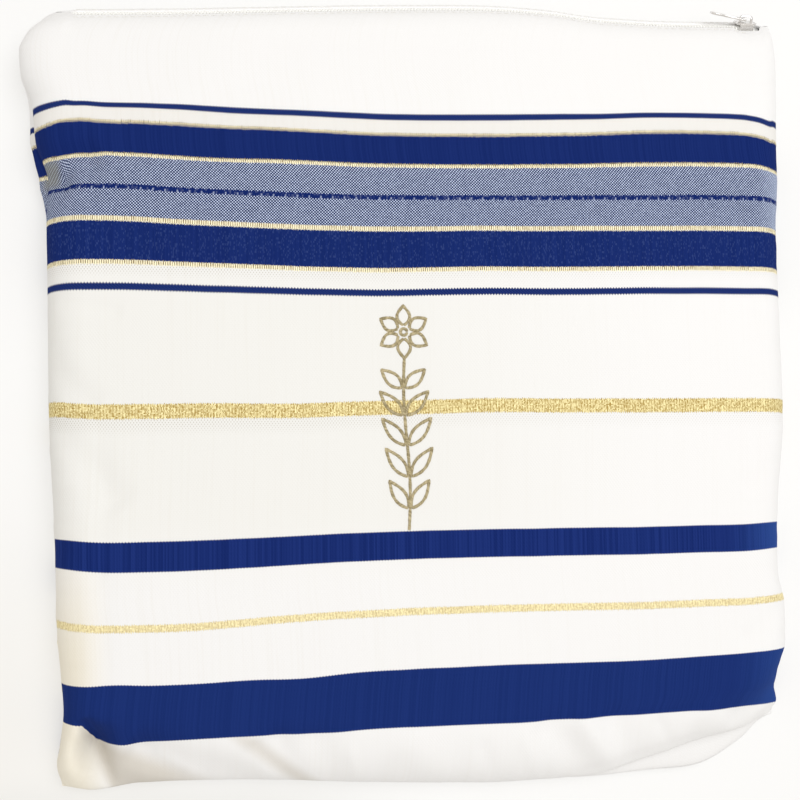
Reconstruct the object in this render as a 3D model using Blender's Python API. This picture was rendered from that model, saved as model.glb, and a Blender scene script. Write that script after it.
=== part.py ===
"""Zipped tallit bag with the folded prayer shawl inside, lying flat.

Frame: metres, +Z up. The bag lies on its back panel, +Y points to the zip, +X to the closed
end of the zip, and the origin is under the middle of the bag at the level it rests on.
Tables and named sizes are in millimetres.
"""
import math

import bmesh
import bpy
from mathutils import Matrix, Vector

MM = 0.001

# Cloth and clearances
WALL = 1.2              # cloth thickness, hem and seam allowance pressed in
TAPE_WALL = 1.0
GAP = 0.3               # between pieces that touch
ROLL = 15.0             # plan width over which the front panel turns down to a side seam
BOTTOM_ROLL = 25.0      # the same at the bottom seam
BACK_ROLL = 8.0         # plan width of the back panel's turn from a seam to the floor
BACK_BOTTOM_ROLL = 10.0

# Cloth rows of the front panel run from the bottom seam to the zip
ROW_BOTTOM = -150.0
ROW_TOP = 150.0
MEAN_WIDTH = 295.0
BACK_TOP_ROWS = 10.0    # rows of the back panel that turn up to the zip
LAST_TURN_ROW = 1.5     # rows from the end of that turn to the panel's edge
BOTTOM_FADE = 34.0      # height over which the rows take up the bottom seam's shape
TOP_FADE = 70.0         # the same for the zip's shape
BOW_REACH = 150.0       # distance from the middle at which a row's bow is whole
BOW_POWER = 1.6
CROWN = 1.2             # how much the middle of a row stands over its ends

# The zip: a straight-sided strip of tape that faces up and away from the bag
ZIP_TILT = math.radians(57.0)
ZIP_Z = 12.0
PANEL_EDGE = 4.6        # from the zip's middle line to each panel's turned edge
PANEL_END = 0.7         # the same at the bag's corners, where the edges close over the zip's ends
PANEL_RISE = 2.0        # from the tape's middle plane to a panel's outer face
TAPE_HALF = 5.4
TAPE_END = 4.6          # half width at the ends, where the panels come down to the seams
TAPE_TAPER = 12.0
TAPE_SPLIT = 0.15       # half the slit between the two tapes where the zip is closed
TAPE_OPEN = 1.8         # half the opening where the slider's post parts them
SPLIT_LENGTH = 4.0
SPLIT_START = 2.0       # how far the split starts before the slider's middle
COIL_HALF = 2.4
COIL_BASE = 0.8
COIL_TOP = 2.4
COIL_CHAMFER = 0.5
ZIP_CELLS = 22
ZIP_LEFT = -134.2
ZIP_RIGHT = 150.0
COIL_LEFT = -133.0
LEFT_CLOSE = (-134.0, -139.8)    # stretch of x in which the edges close at the left
RIGHT_CLOSE = (150.2, 152.8)
SHOULDER_RUN = 1.0      # straight strip of panel beside the zip, in plan
SHOULDER_WIDTH = 11.0   # plan width of the front panel's turn beside the zip
LIP_FADE = 8.0          # plan width over which a side seam meets the edge at the zip
BACK_LEDGE = 3.0        # straight strip of the back panel beside the zip
TOP_TURN_STEPS = 4

# Slider and pull tab, along the zip (x), across it (a) and out from it (m)
SLIDER_X = 142.8
SLIDER_LENGTH = 8.4
SLIDER_SHOULDER = 3.9
SLIDER_MOUTH = 3.2
PLATE = 0.9
PLATE_LOW = -1.7
PLATE_HIGH = 2.7
LIP = 0.8               # thickness of the side lips
LIP_OUTER = 3.55        # from the zip's middle line to a lip's outer face
LIP_BACK = 1.0          # from the plate's ends to a lip's ends
LIP_FRONT = 1.6
POST_FROM = 2.1
POST_TO = 3.7
POST_HALF = 1.2
BRIDGE_HALF = 2.6
BRIDGE_WIRE = 0.55
BRIDGE_TOP = 5.9
BRIDGE_FOOT = 0.4       # how far the bridge's feet reach into the top plate
HINGE_X = -0.7          # hinge line, from the slider's middle
HINGE_M = 4.48          # hinge line, above the tape's middle plane
TAB_LENGTH = 15.8
TAB_HALF = 2.1
TAB_WAIST = 1.5
TAB_EYE_HALF = 2.2
TAB_THICK = 0.8
TAB_BAR_HALF = 0.42      # half the width of the bar that the tab turns on
TAB_SLOT_TO = 3.5
TAB_SLOT_HALF = 1.05
TAB_REST = math.radians(9.0)

# Outline and height, a row for each level of the bag
SIDES = (
    # row, left seam x, right seam x, seam z, top z, left bulge, right bulge (back panel)
    (-150.0, -139.5, 141.0, 4.5, 19.5, 0.5, 1.5),
    (-143.0, -141.2, 143.5, 5.0, 20.5, 0.5, 1.5),
    (-132.0, -139.8, 142.6, 6.0, 21.5, 0.5, 1.0),
    (-120.0, -138.6, 143.6, 7.0, 22.5, 0.5, 1.0),
    (-106.0, -139.4, 147.0, 8.0, 23.4, 1.0, 1.0),
    (-89.0, -140.7, 147.2, 8.8, 24.0, 1.0, 1.0),
    (-78.0, -141.0, 145.0, 9.0, 24.2, 1.0, 1.0),
    (-58.0, -141.4, 145.6, 9.5, 24.5, 1.0, 1.0),
    (-10.0, -143.6, 150.8, 9.5, 24.8, 1.0, 1.0),
    (38.0, -144.2, 151.4, 9.5, 24.6, 1.5, 1.0),
    (62.0, -144.6, 152.0, 9.5, 24.3, 3.0, 1.0),
    (76.0, -144.0, 153.4, 10.0, 24.0, 4.5, 1.0),
    (92.0, -148.6, 154.0, 10.5, 23.6, 3.5, 1.0),
    (109.0, -150.0, 154.8, 11.0, 23.0, 2.0, 1.0),
    (122.0, -154.0, 155.2, 12.0, 22.3, 1.0, 1.0),
    (132.0, -154.6, 155.2, 12.9, 21.8, 0.5, 0.5),
    (140.0, -151.5, 154.6, 13.3, 21.4, 0.0, 0.0),
    (146.0, -146.0, 154.2, 13.4, 21.2, 0.0, 0.0),
    (149.0, -142.0, 153.6, 13.4, 21.0, 0.0, 0.0),
    (150.0, -140.5, 153.2, 13.4, 21.0, 0.0, 0.0),
)

# The bottom seam, a row for each stretch from left to right
BOTTOM = (
    # x, seam y, rise of the seam, bulge of the back panel past it
    (-141.0, -149.0, 0.0, 0.5),
    (-128.0, -151.2, 0.0, 0.5),
    (-110.0, -149.4, 0.0, 0.5),
    (-70.0, -150.6, 0.0, 0.5),
    (-35.0, -153.4, 0.0, 0.5),
    (4.0, -156.0, 0.0, 0.5),
    (30.0, -157.2, 0.0, 0.0),
    (60.0, -156.8, 0.5, 1.5),
    (91.0, -149.6, 3.0, 7.8),
    (110.0, -144.2, 4.0, 12.0),
    (128.0, -140.8, 3.5, 6.8),
    (141.0, -136.4, 2.5, 1.5),
)

# The zip's middle line
ZIP_LINE = (
    # x, y
    (-141.0, 144.9),
    (-100.0, 146.4),
    (-65.0, 148.4),
    (-5.0, 151.6),
    (33.0, 152.8),
    (56.0, 152.0),
    (80.0, 149.6),
    (106.0, 149.0),
    (153.0, 149.8),
)

# How far the cloth's rows bend off a straight line towards each side
BOWS = (
    # row, shift at the left, shift at the right
    (-150.0, 0.0, 0.0),
    (-120.0, -1.2, 1.2),
    (-88.0, -3.0, -1.6),
    (-63.0, -1.9, -1.5),
    (-10.0, -0.3, -0.9),
    (35.0, 2.4, 1.1),
    (72.0, 3.6, 2.2),
    (104.0, 2.8, 4.0),
    (150.0, 0.0, 0.0),
)

# The largest creases: soft troughs (negative) and ridges (positive)
FOLDS = (
    # x1, y1, x2, y2, half width, height
    (-146.0, 79.0, -128.0, 85.0, 8.0, -3.6),
    (-131.0, -160.0, -127.0, -127.0, 5.5, -4.0),
    (-108.0, -134.0, -74.0, -149.0, 7.0, -3.0),
    (-82.0, -134.0, -56.0, -149.0, 6.0, 2.2),
    (-46.0, -134.0, -40.0, -152.0, 7.0, -2.0),
    (-10.0, -138.0, 2.0, -154.0, 8.0, 1.6),
    (44.0, -134.0, 62.0, -154.0, 6.5, -3.0),
    (70.0, -132.0, 80.0, -152.0, 6.0, -2.6),
    (57.0, -132.0, 71.0, -153.0, 5.0, 2.0),
    (108.0, -133.0, 118.0, -143.0, 7.0, 2.2),
    (122.0, -136.0, 141.0, -126.0, 6.0, -2.8),
    (-140.0, -14.0, -119.0, -43.0, 7.0, -1.8),
    (-142.0, 8.0, -128.0, -8.0, 6.0, -1.5),
)

# The folded shawl inside
STACK_LEFT = -122.0
STACK_RIGHT = 132.0
STACK_BOTTOM = -127.0
STACK_TOP = 136.0
STACK_CORNER = 14.0
STACK_LAYERS = 5
STACK_LAYER_DEPTH = 1.6     # how far the rounded edge of a layer stands out
STACK_CLEAR = 2.9           # below the front panel's outer face, wall and soft folds
STACK_EDGE_TURN = 0.2       # share of a layer's thickness in which its edge turns out

FRONT_COLUMNS = 26
FRONT_ROWS = 24
ROLL_STEPS = 5
STACK_CELLS = 14

ZIP_A = Vector((0.0, math.cos(ZIP_TILT), -math.sin(ZIP_TILT)))
ZIP_M = Vector((0.0, math.sin(ZIP_TILT), math.cos(ZIP_TILT)))


def look_up(table, at, column):
    """Value of one column of a table at a place in its first column, on a smooth curve."""
    keys = [row[0] for row in table]
    values = [row[column] for row in table]
    if at <= keys[0]:
        return values[0]
    if at >= keys[-1]:
        return values[-1]
    i = next(k for k in range(len(keys) - 1) if at <= keys[k + 1])

    def slope(k):
        if k in (0, len(keys) - 1):
            return 0.0
        before = (values[k] - values[k - 1]) / (keys[k] - keys[k - 1])
        after = (values[k + 1] - values[k]) / (keys[k + 1] - keys[k])
        if before * after <= 0.0:
            return 0.0
        return 2.0 * before * after / (before + after)

    span = keys[i + 1] - keys[i]
    t = (at - keys[i]) / span
    return (
        values[i] * (2 * t**3 - 3 * t**2 + 1)
        + slope(i) * span * (t**3 - 2 * t**2 + t)
        + values[i + 1] * (3 * t**2 - 2 * t**3)
        + slope(i + 1) * span * (t**3 - t**2)
    )


def mix(a, b, t):
    return a + (b - a) * t


def fade(t):
    """1 at t = 0, falling smoothly to 0 at t = 1."""
    t = min(max(t, 0.0), 1.0)
    return 1.0 - t * t * (3.0 - 2.0 * t)


def quarter_turn(t):
    """Height of a quarter circle that starts upright at t = 0 and is level from t = 1."""
    t = min(max(t, 0.0), 1.0)
    return math.sqrt(1.0 - (1.0 - t) ** 2)


def turn_steps(width, steps):
    """Distances from an edge that cut its quarter turn into equal angles."""
    return [width * (1.0 - math.cos(math.pi / 2 * k / steps)) for k in range(steps + 1)]


def shoulder(d):
    """Height of the front panel over its edge at the zip: a straight strip, then an arc."""
    slope = math.tan(ZIP_TILT)
    radius = (SHOULDER_WIDTH - SHOULDER_RUN) / math.sin(ZIP_TILT)
    if d <= SHOULDER_RUN:
        return slope * max(d, 0.0)
    along = min(d, SHOULDER_WIDTH) - SHOULDER_RUN
    from_top = radius * math.sin(ZIP_TILT) - along
    rise = math.sqrt(radius**2 - from_top**2) - radius * math.cos(ZIP_TILT)
    return slope * SHOULDER_RUN + rise


def zip_y(x):
    return look_up(ZIP_LINE, x, 1)


def zip_point(x, across, out):
    """A point by the zip: across it towards the back panel, and out from the tapes."""
    return Vector((x, zip_y(x), ZIP_Z)) + ZIP_A * across + ZIP_M * out


def closing(x):
    """1 where the zip is in view, falling to 0 at the bag's corners."""
    left_start, left_end = LEFT_CLOSE
    right_start, right_end = RIGHT_CLOSE
    left = fade((left_start - x) / (left_start - left_end))
    return left * fade((x - right_start) / (right_end - right_start))


def panel_edge(x):
    """Distance of each panel's turned edge from the zip's middle line."""
    return mix(PANEL_END, PANEL_EDGE, closing(x))


def folds(x, y):
    """Height that the creases add, each fading out at its ends."""
    total = 0.0
    for x1, y1, x2, y2, half_width, height in FOLDS:
        length = math.hypot(x2 - x1, y2 - y1)
        ux, uy = (x2 - x1) / length, (y2 - y1) / length
        along = (x - x1) * ux + (y - y1) * uy
        across = -(x - x1) * uy + (y - y1) * ux
        beyond = max(-along, along - length, 0.0)
        total += height * math.exp(-(across / half_width) ** 2) * fade(beyond / half_width)
    return total


def row_y(row, x):
    """Place of a cloth row at x: bent by the bows, the bottom seam and the zip."""
    side = min(abs(x) / BOW_REACH, 1.0) ** BOW_POWER
    bow = look_up(BOWS, row, 1 if x < 0.0 else 2) * side
    low = look_up(BOTTOM, x, 1) - ROW_BOTTOM
    high = zip_point(x, -panel_edge(x), PANEL_RISE).y - ROW_TOP
    low_fade = fade((row - ROW_BOTTOM) / BOTTOM_FADE)
    high_fade = fade((ROW_TOP - row) / TOP_FADE)
    return row + bow + low * low_fade + high * high_fade


def front_point(share, row):
    """Outer face of the front panel, by share of its width and cloth row."""
    left = look_up(SIDES, row, 1)
    right = look_up(SIDES, row, 2)
    x = mix(left, right, share)
    y = row_y(row, x)
    edge_z = zip_point(x, -panel_edge(x), PANEL_RISE).z
    seam_z = look_up(SIDES, row, 3)
    seam_z += look_up(BOTTOM, x, 2) * fade((row - ROW_BOTTOM) / BOTTOM_FADE)
    top_z = look_up(SIDES, row, 4) + CROWN * (1.0 - (2.0 * share - 1.0) ** 2)
    to_zip = row_y(ROW_TOP, x) - y
    over_edge = (top_z - edge_z) * shoulder(to_zip) / shoulder(SHOULDER_WIDTH)
    sides = quarter_turn((x - left) / ROLL) * quarter_turn((right - x) / ROLL)
    bottom = quarter_turn((y - look_up(BOTTOM, x, 1)) / BOTTOM_ROLL)
    held = quarter_turn((to_zip - SHOULDER_RUN) / ROLL)
    rolled = sides * bottom
    at_edge = mix(rolled, 1.0, fade(to_zip / LIP_FADE))
    crease = folds(x, y) * rolled * held
    return Vector((x, y, seam_z + (edge_z - seam_z) * at_edge + over_edge * rolled + crease))


def front_shares():
    roll = [d / MEAN_WIDTH for d in turn_steps(ROLL, ROLL_STEPS)]
    inner = [mix(roll[-1], 1.0 - roll[-1], k / FRONT_COLUMNS) for k in range(1, FRONT_COLUMNS)]
    return roll + inner + [1.0 - s for s in reversed(roll)]


def front_rows():
    low = [ROW_BOTTOM + d for d in turn_steps(BOTTOM_ROLL, ROLL_STEPS + 1)]
    top = SHOULDER_WIDTH - SHOULDER_RUN
    steps = range(TOP_TURN_STEPS, -1, -1)
    high = [ROW_TOP - SHOULDER_RUN - top * k / TOP_TURN_STEPS for k in steps] + [ROW_TOP]
    inner = [mix(low[-1], high[0], k / FRONT_ROWS) for k in range(1, FRONT_ROWS)]
    return low + inner + high


def back_grid():
    """Outer face of the back panel: seams all round, flat on the floor between."""
    roll = [d / MEAN_WIDTH for d in turn_steps(BACK_ROLL, TOP_TURN_STEPS)]
    inner = [share for share in front_shares() if roll[-1] < share < 1.0 - roll[-1]][1:-1:2]
    shares = roll + inner + [1.0 - s for s in reversed(roll)]
    low = turn_steps(BACK_BOTTOM_ROLL, TOP_TURN_STEPS)
    floor_top = ROW_TOP - BACK_TOP_ROWS
    rows = [("low", ROW_BOTTOM + d, d) for d in low]
    rows += [("floor", row, 0.0) for row in front_rows() if rows[-1][1] < row < floor_top]
    for k in range(TOP_TURN_STEPS + 1):
        share = k / TOP_TURN_STEPS
        row = mix(floor_top, ROW_TOP - LAST_TURN_ROW, share)
        rows.append(("turn", row, mix(math.pi, ZIP_TILT, share)))
    rows.append(("edge", ROW_TOP, 0.0))
    grid = []
    for kind, row, value in rows:
        line = []
        for share in shares:
            left = look_up(SIDES, row, 1)
            right = look_up(SIDES, row, 2)
            x = mix(left, right, share)
            lip = zip_point(x, panel_edge(x), PANEL_RISE)
            seam_z = look_up(SIDES, row, 3)
            seam_z += look_up(BOTTOM, x, 2) * fade((row - ROW_BOTTOM) / BOTTOM_FADE) - GAP
            near_zip = fade((ROW_TOP - row) / BACK_TOP_ROWS)
            seam_z = mix(seam_z, lip.z, near_zip)
            seam_y = mix(row_y(row, x), lip.y, near_zip)
            inner_y, inner_z = seam_y, 0.0
            if kind == "low":
                turned = quarter_turn(value / BACK_BOTTOM_ROLL)
                inner_z = seam_z * (1.0 - turned)
                bulge = look_up(BOTTOM, x, 3)
                inner_y = seam_y - bulge * math.sin(math.pi * turned)
            if kind == "turn":
                start = lip + ZIP_A * BACK_LEDGE
                reach = start.z / (math.cos(ZIP_TILT) + 1.0)
                inner_y = start.y + reach * (math.sin(value) - math.sin(ZIP_TILT))
                inner_z = reach * (math.cos(value) + 1.0)
            if kind == "edge":
                inner_y, inner_z = lip.y, lip.z
            from_left = quarter_turn((x - left) / BACK_ROLL)
            from_right = quarter_turn((right - x) / BACK_ROLL)
            sides = from_left * from_right
            x -= look_up(SIDES, row, 5) * math.sin(math.pi * from_left)
            x += look_up(SIDES, row, 6) * math.sin(math.pi * from_right)
            line.append(Vector((x, mix(seam_y, inner_y, sides), mix(seam_z, inner_z, sides))))
        grid.append(line)
    return grid


def grid_normals(grid):
    """Average normal at each point of a grid, pointing up for a grid that runs +X then +Y."""
    rows, columns = len(grid), len(grid[0])
    normals = []
    for j in range(rows):
        line = []
        for i in range(columns):
            total = Vector()
            for dj, di in ((1, 1), (1, -1), (-1, -1), (-1, 1)):
                if 0 <= j + dj < rows and 0 <= i + di < columns:
                    along = (grid[j][i + di] - grid[j][i]) * di
                    up = (grid[j + dj][i] - grid[j][i]) * dj
                    total += along.cross(up).normalized()
            line.append(total.normalized())
        normals.append(line)
    return normals


def inner_grid(grid, side, wall):
    """The other face of a cloth wall; level where it meets a seam, so that seams stay parted."""
    rows, columns = len(grid), len(grid[0])
    inside = []
    for j, (points, normals) in enumerate(zip(grid, grid_normals(grid))):
        line = []
        for i, (point, normal) in enumerate(zip(points, normals)):
            direction = normal * side
            if j == 0 or i in (0, columns - 1):
                direction.z = 0.0
                direction.normalize()
            line.append(point + direction * wall)
        inside.append(line)
    return inside


def material(name, colour, roughness, metallic=0.0):
    made = bpy.data.materials.new(name)
    made.use_nodes = True
    shader = made.node_tree.nodes["Principled BSDF"]
    shader.inputs["Base Color"].default_value = (*colour, 1.0)
    shader.inputs["Roughness"].default_value = roughness
    shader.inputs["Metallic"].default_value = metallic
    return made


def finish_object(bm, name, look, collection):
    """Turn a bmesh in millimetres into a smooth-shaded object in metres."""
    bmesh.ops.recalc_face_normals(bm, faces=bm.faces)
    mesh = bpy.data.meshes.new(name)
    bm.transform(Matrix.Scale(MM, 4))
    bm.to_mesh(mesh)
    bm.free()
    mesh.shade_smooth()
    mesh.set_sharp_from_angle(angle=math.radians(40.0))
    made = bpy.data.objects.new(name, mesh)
    mesh.materials.append(look)
    collection.objects.link(made)
    return made


def closed_wall(name, face, other, look, collection):
    """One closed solid between two grids of the same size."""
    bm = bmesh.new()
    rows, columns = len(face), len(face[0])
    sheets = [[[bm.verts.new(p) for p in line] for line in grid] for grid in (face, other)]
    for sheet in sheets:
        for j in range(rows - 1):
            for i in range(columns - 1):
                corners = (sheet[j][i], sheet[j][i + 1], sheet[j + 1][i + 1], sheet[j + 1][i])
                bm.faces.new(corners)
    rim = [(0, i) for i in range(columns)] + [(j, columns - 1) for j in range(1, rows)]
    rim += [(rows - 1, i) for i in range(columns - 2, -1, -1)]
    rim += [(j, 0) for j in range(rows - 2, 0, -1)]
    for k, (j, i) in enumerate(rim):
        nj, ni = rim[(k + 1) % len(rim)]
        bm.faces.new((sheets[0][j][i], sheets[0][nj][ni], sheets[1][nj][ni], sheets[1][j][i]))
    return finish_object(bm, name, look, collection)


def front_panel(look, collection):
    grid = [[front_point(share, row) for share in front_shares()] for row in front_rows()]
    return closed_wall("front_panel", grid, inner_grid(grid, -1.0, WALL), look, collection)


def back_panel(look, collection):
    grid = back_grid()
    return closed_wall("back_panel", grid, inner_grid(grid, 1.0, WALL), look, collection)


def zip_stations(first, last):
    """Places along the zip, closer together by the slider."""
    even = [mix(first, SLIDER_X - 6.0, k / ZIP_CELLS) for k in range(ZIP_CELLS + 1)]
    by_slider = [SLIDER_X - SPLIT_START, SLIDER_X, SLIDER_X + SPLIT_START, last]
    return even + [x for x in by_slider if x <= last]


def tape_split(x):
    """Half the slit between the tapes, which the slider's post opens."""
    return mix(TAPE_OPEN, TAPE_SPLIT, fade((x - SLIDER_X + SPLIT_START) / SPLIT_LENGTH))


def tape_half(x):
    return mix(TAPE_HALF, TAPE_END, fade(min(x - ZIP_LEFT, ZIP_RIGHT - x) / TAPE_TAPER))


def zip_tape(name, side, look, collection):
    grids = []
    for out in (-TAPE_WALL / 2, TAPE_WALL / 2):
        stations = zip_stations(ZIP_LEFT, ZIP_RIGHT)
        outer = [zip_point(x, side * tape_half(x), out) for x in stations]
        inner = [zip_point(x, side * tape_split(x), out) for x in stations]
        grids.append([outer, inner])
    return closed_wall(name, grids[0], grids[1], look, collection)


def zip_coil(look, collection):
    """The closed chain as a strip with chamfered edges, up to the slider's post."""
    section = (
        # across, out
        (-COIL_HALF, COIL_BASE),
        (-COIL_HALF, COIL_TOP - COIL_CHAMFER),
        (-COIL_HALF + COIL_CHAMFER, COIL_TOP),
        (COIL_HALF - COIL_CHAMFER, COIL_TOP),
        (COIL_HALF, COIL_TOP - COIL_CHAMFER),
        (COIL_HALF, COIL_BASE),
    )
    bm = bmesh.new()
    rings = [
        [bm.verts.new(zip_point(x, across, out)) for across, out in section]
        for x in zip_stations(COIL_LEFT, SLIDER_X + POST_FROM - 1.0)
    ]
    for ring, following in zip(rings, rings[1:]):
        for k in range(len(section)):
            n = (k + 1) % len(section)
            bm.faces.new((ring[k], ring[n], following[n], following[k]))
    bm.faces.new(rings[0])
    bm.faces.new(reversed(rings[-1]))
    return finish_object(bm, "zip_coil", look, collection)


def slider_frame():
    """Slider's own axes: x along the zip, y across it, z out from it."""
    origin = zip_point(SLIDER_X, 0.0, 0.0)
    turn = Matrix((Vector((1, 0, 0)), ZIP_A, ZIP_M)).transposed().to_4x4()
    return Matrix.Translation(origin) @ turn


def plate_outline():
    """Half-width along the slider: a narrow mouth over the closed coil, wide shoulders."""
    half = SLIDER_LENGTH / 2
    mouth, wide = SLIDER_MOUTH, SLIDER_SHOULDER
    upper = (
        # along, half width
        (-half, mouth - 0.8),
        (-half + 0.8, mouth),
        (0.0, mix(mouth, wide, 0.6)),
        (half - 2.2, wide),
        (half - 0.8, wide - 0.7),
        (half, wide - 1.9),
    )
    return list(upper) + [(x, -y) for x, y in reversed(upper)]


def prism(outline, low, high):
    """Closed solid from a flat outline between two heights, in its own bmesh."""
    bm = bmesh.new()
    face = bm.faces.new([bm.verts.new((x, y, low)) for x, y in outline])
    raised = bmesh.ops.extrude_face_region(bm, geom=[face])["geom"]
    points = [part for part in raised if isinstance(part, bmesh.types.BMVert)]
    bmesh.ops.translate(bm, verts=points, vec=(0.0, 0.0, high - low))
    bmesh.ops.recalc_face_normals(bm, faces=bm.faces)
    return bm


def rectangle(x1, x2, y1, y2):
    return [(x1, y1), (x2, y1), (x2, y2), (x1, y2)]


def bridge_mesh():
    """The arch that holds the pull tab: a bent bar as a curve, made a mesh."""
    curve = bpy.data.curves.new("bridge", "CURVE")
    curve.dimensions = "3D"
    curve.bevel_depth = BRIDGE_WIRE
    curve.bevel_resolution = 2
    curve.use_fill_caps = True
    path = (
        # along, out
        (-BRIDGE_HALF, PLATE_HIGH + BRIDGE_FOOT),
        (-BRIDGE_HALF, BRIDGE_TOP - 1.0),
        (-BRIDGE_HALF + 0.3, BRIDGE_TOP - 0.35),
        (-BRIDGE_HALF + 1.0, BRIDGE_TOP),
        (BRIDGE_HALF - 1.0, BRIDGE_TOP),
        (BRIDGE_HALF - 0.3, BRIDGE_TOP - 0.35),
        (BRIDGE_HALF, BRIDGE_TOP - 1.0),
        (BRIDGE_HALF, PLATE_HIGH + BRIDGE_FOOT),
    )
    spline = curve.splines.new("POLY")
    spline.points.add(len(path) - 1)
    for point, (along, out) in zip(spline.points, path):
        point.co = (along, 0.0, out, 1.0)
    holder = bpy.data.objects.new("bridge", curve)
    bpy.context.scene.collection.objects.link(holder)
    evaluated = holder.evaluated_get(bpy.context.evaluated_depsgraph_get())
    mesh = bpy.data.meshes.new_from_object(evaluated)
    bpy.data.objects.remove(holder)
    bm = bmesh.new()
    bm.from_mesh(mesh)
    bmesh.ops.remove_doubles(bm, verts=bm.verts, dist=0.0001)
    bmesh.ops.recalc_face_normals(bm, faces=bm.faces)
    return bm


def add_boolean(target, cutter, operation, cutters):
    cutter.hide_render = True
    cutter.display_type = "WIRE"
    cutters.objects.link(cutter)
    change = target.modifiers.new(cutter.name, "BOOLEAN")
    change.operation = operation
    change.object = cutter
    change.solver = "EXACT"


def slider_body(look, collection, cutters):
    """Two plates held apart by a post, with lips over the coil's sides and a bridge on top."""
    frame = slider_frame()
    half = SLIDER_LENGTH / 2
    lip_low = TAPE_WALL / 2 + GAP
    parts = [
        ("slider_low_plate", prism(plate_outline(), PLATE_LOW, PLATE_LOW + PLATE)),
        ("slider_post", prism(
            rectangle(POST_FROM, POST_TO, -POST_HALF, POST_HALF),
            PLATE_LOW + PLATE / 2, PLATE_HIGH + PLATE / 2)),
        ("slider_bridge", bridge_mesh()),
    ]
    for name, side in (("slider_lip_front", -1.0), ("slider_lip_back", 1.0)):
        near, far = side * (LIP_OUTER - LIP), side * LIP_OUTER
        outline = rectangle(-half + LIP_BACK, half - LIP_FRONT, min(near, far), max(near, far))
        parts.append((name, prism(outline, lip_low, PLATE_HIGH + PLATE / 2)))
    scale = Matrix.Scale(MM, 4)
    top = prism(plate_outline(), PLATE_HIGH, PLATE_HIGH + PLATE)
    top.transform(frame)
    body = finish_object(top, "slider_body", look, collection)
    for name, bm in parts:
        mesh = bpy.data.meshes.new(name)
        bm.transform(scale @ frame)
        bm.to_mesh(mesh)
        bm.free()
        mesh.materials.append(look)
        add_boolean(body, bpy.data.objects.new(name, mesh), "UNION", cutters)
    return body


def tab_outline():
    """Pull tab from its eye at the hinge to its round free end, along -x."""
    sides = (
        # along from the hinge, half width
        (-TAB_BAR_HALF, TAB_EYE_HALF - 0.5),
        (0.1, TAB_EYE_HALF),
        (TAB_SLOT_TO, TAB_EYE_HALF),
        (TAB_SLOT_TO + 1.6, TAB_WAIST),
        (TAB_LENGTH - 5.0, TAB_WAIST),
        (TAB_LENGTH - 2.4, TAB_HALF),
        (TAB_LENGTH - 1.2, TAB_HALF - 0.3),
        (TAB_LENGTH - 0.3, TAB_HALF - 1.1),
    )
    upper = [(-along, half) for along, half in sides]
    return upper + [(x, -y) for x, y in reversed(upper)]


def pull_tab(look, collection, cutters):
    """Flat tab whose eye bar lies under the bridge; its origin is on the hinge."""
    hinge = slider_frame() @ Matrix.Translation((HINGE_X, 0.0, HINGE_M))
    placed = hinge @ Matrix.Rotation(TAB_REST, 4, "Y")
    tab = finish_object(
        prism(tab_outline(), -TAB_THICK / 2, TAB_THICK / 2), "pull_tab", look, collection)
    slot_outline = rectangle(-TAB_SLOT_TO, -TAB_BAR_HALF, -TAB_SLOT_HALF, TAB_SLOT_HALF)
    slot = prism(slot_outline, -TAB_THICK, TAB_THICK)
    slot.transform(Matrix.Scale(MM, 4))
    mesh = bpy.data.meshes.new("pull_tab_slot")
    slot.to_mesh(mesh)
    slot.free()
    cutter = bpy.data.objects.new("pull_tab_slot", mesh)
    place = placed.copy()
    place.translation = placed.translation * MM
    tab.matrix_world = place
    cutter.matrix_world = place
    add_boolean(tab, cutter, "DIFFERENCE", cutters)
    return tab


def stack_point(i, j):
    """Plan place of a point of the stack's square grid, drawn in near the corners."""
    x = mix(STACK_LEFT, STACK_RIGHT, i / STACK_CELLS)
    y = mix(STACK_BOTTOM, STACK_TOP, j / STACK_CELLS)
    centre_x = mix(STACK_LEFT, STACK_RIGHT, 0.5)
    centre_y = mix(STACK_BOTTOM, STACK_TOP, 0.5)
    half_x = (STACK_RIGHT - STACK_LEFT) / 2
    half_y = (STACK_TOP - STACK_BOTTOM) / 2
    over_x = abs(x - centre_x) - (half_x - STACK_CORNER)
    over_y = abs(y - centre_y) - (half_y - STACK_CORNER)
    if over_x > 0.0 and over_y > 0.0:
        far = math.hypot(over_x, over_y)
        pull = max(over_x, over_y) / far
        x -= math.copysign(over_x * (1.0 - pull), x - centre_x)
        y -= math.copysign(over_y * (1.0 - pull), y - centre_y)
    return x, y


def front_height(x, y):
    """Height of the front panel's outer face above a place well inside the bag."""
    row = y
    for _ in range(6):
        row += y - row_y(row, x)
    left = look_up(SIDES, row, 1)
    right = look_up(SIDES, row, 2)
    return front_point((x - left) / (right - left), row).z


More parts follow.
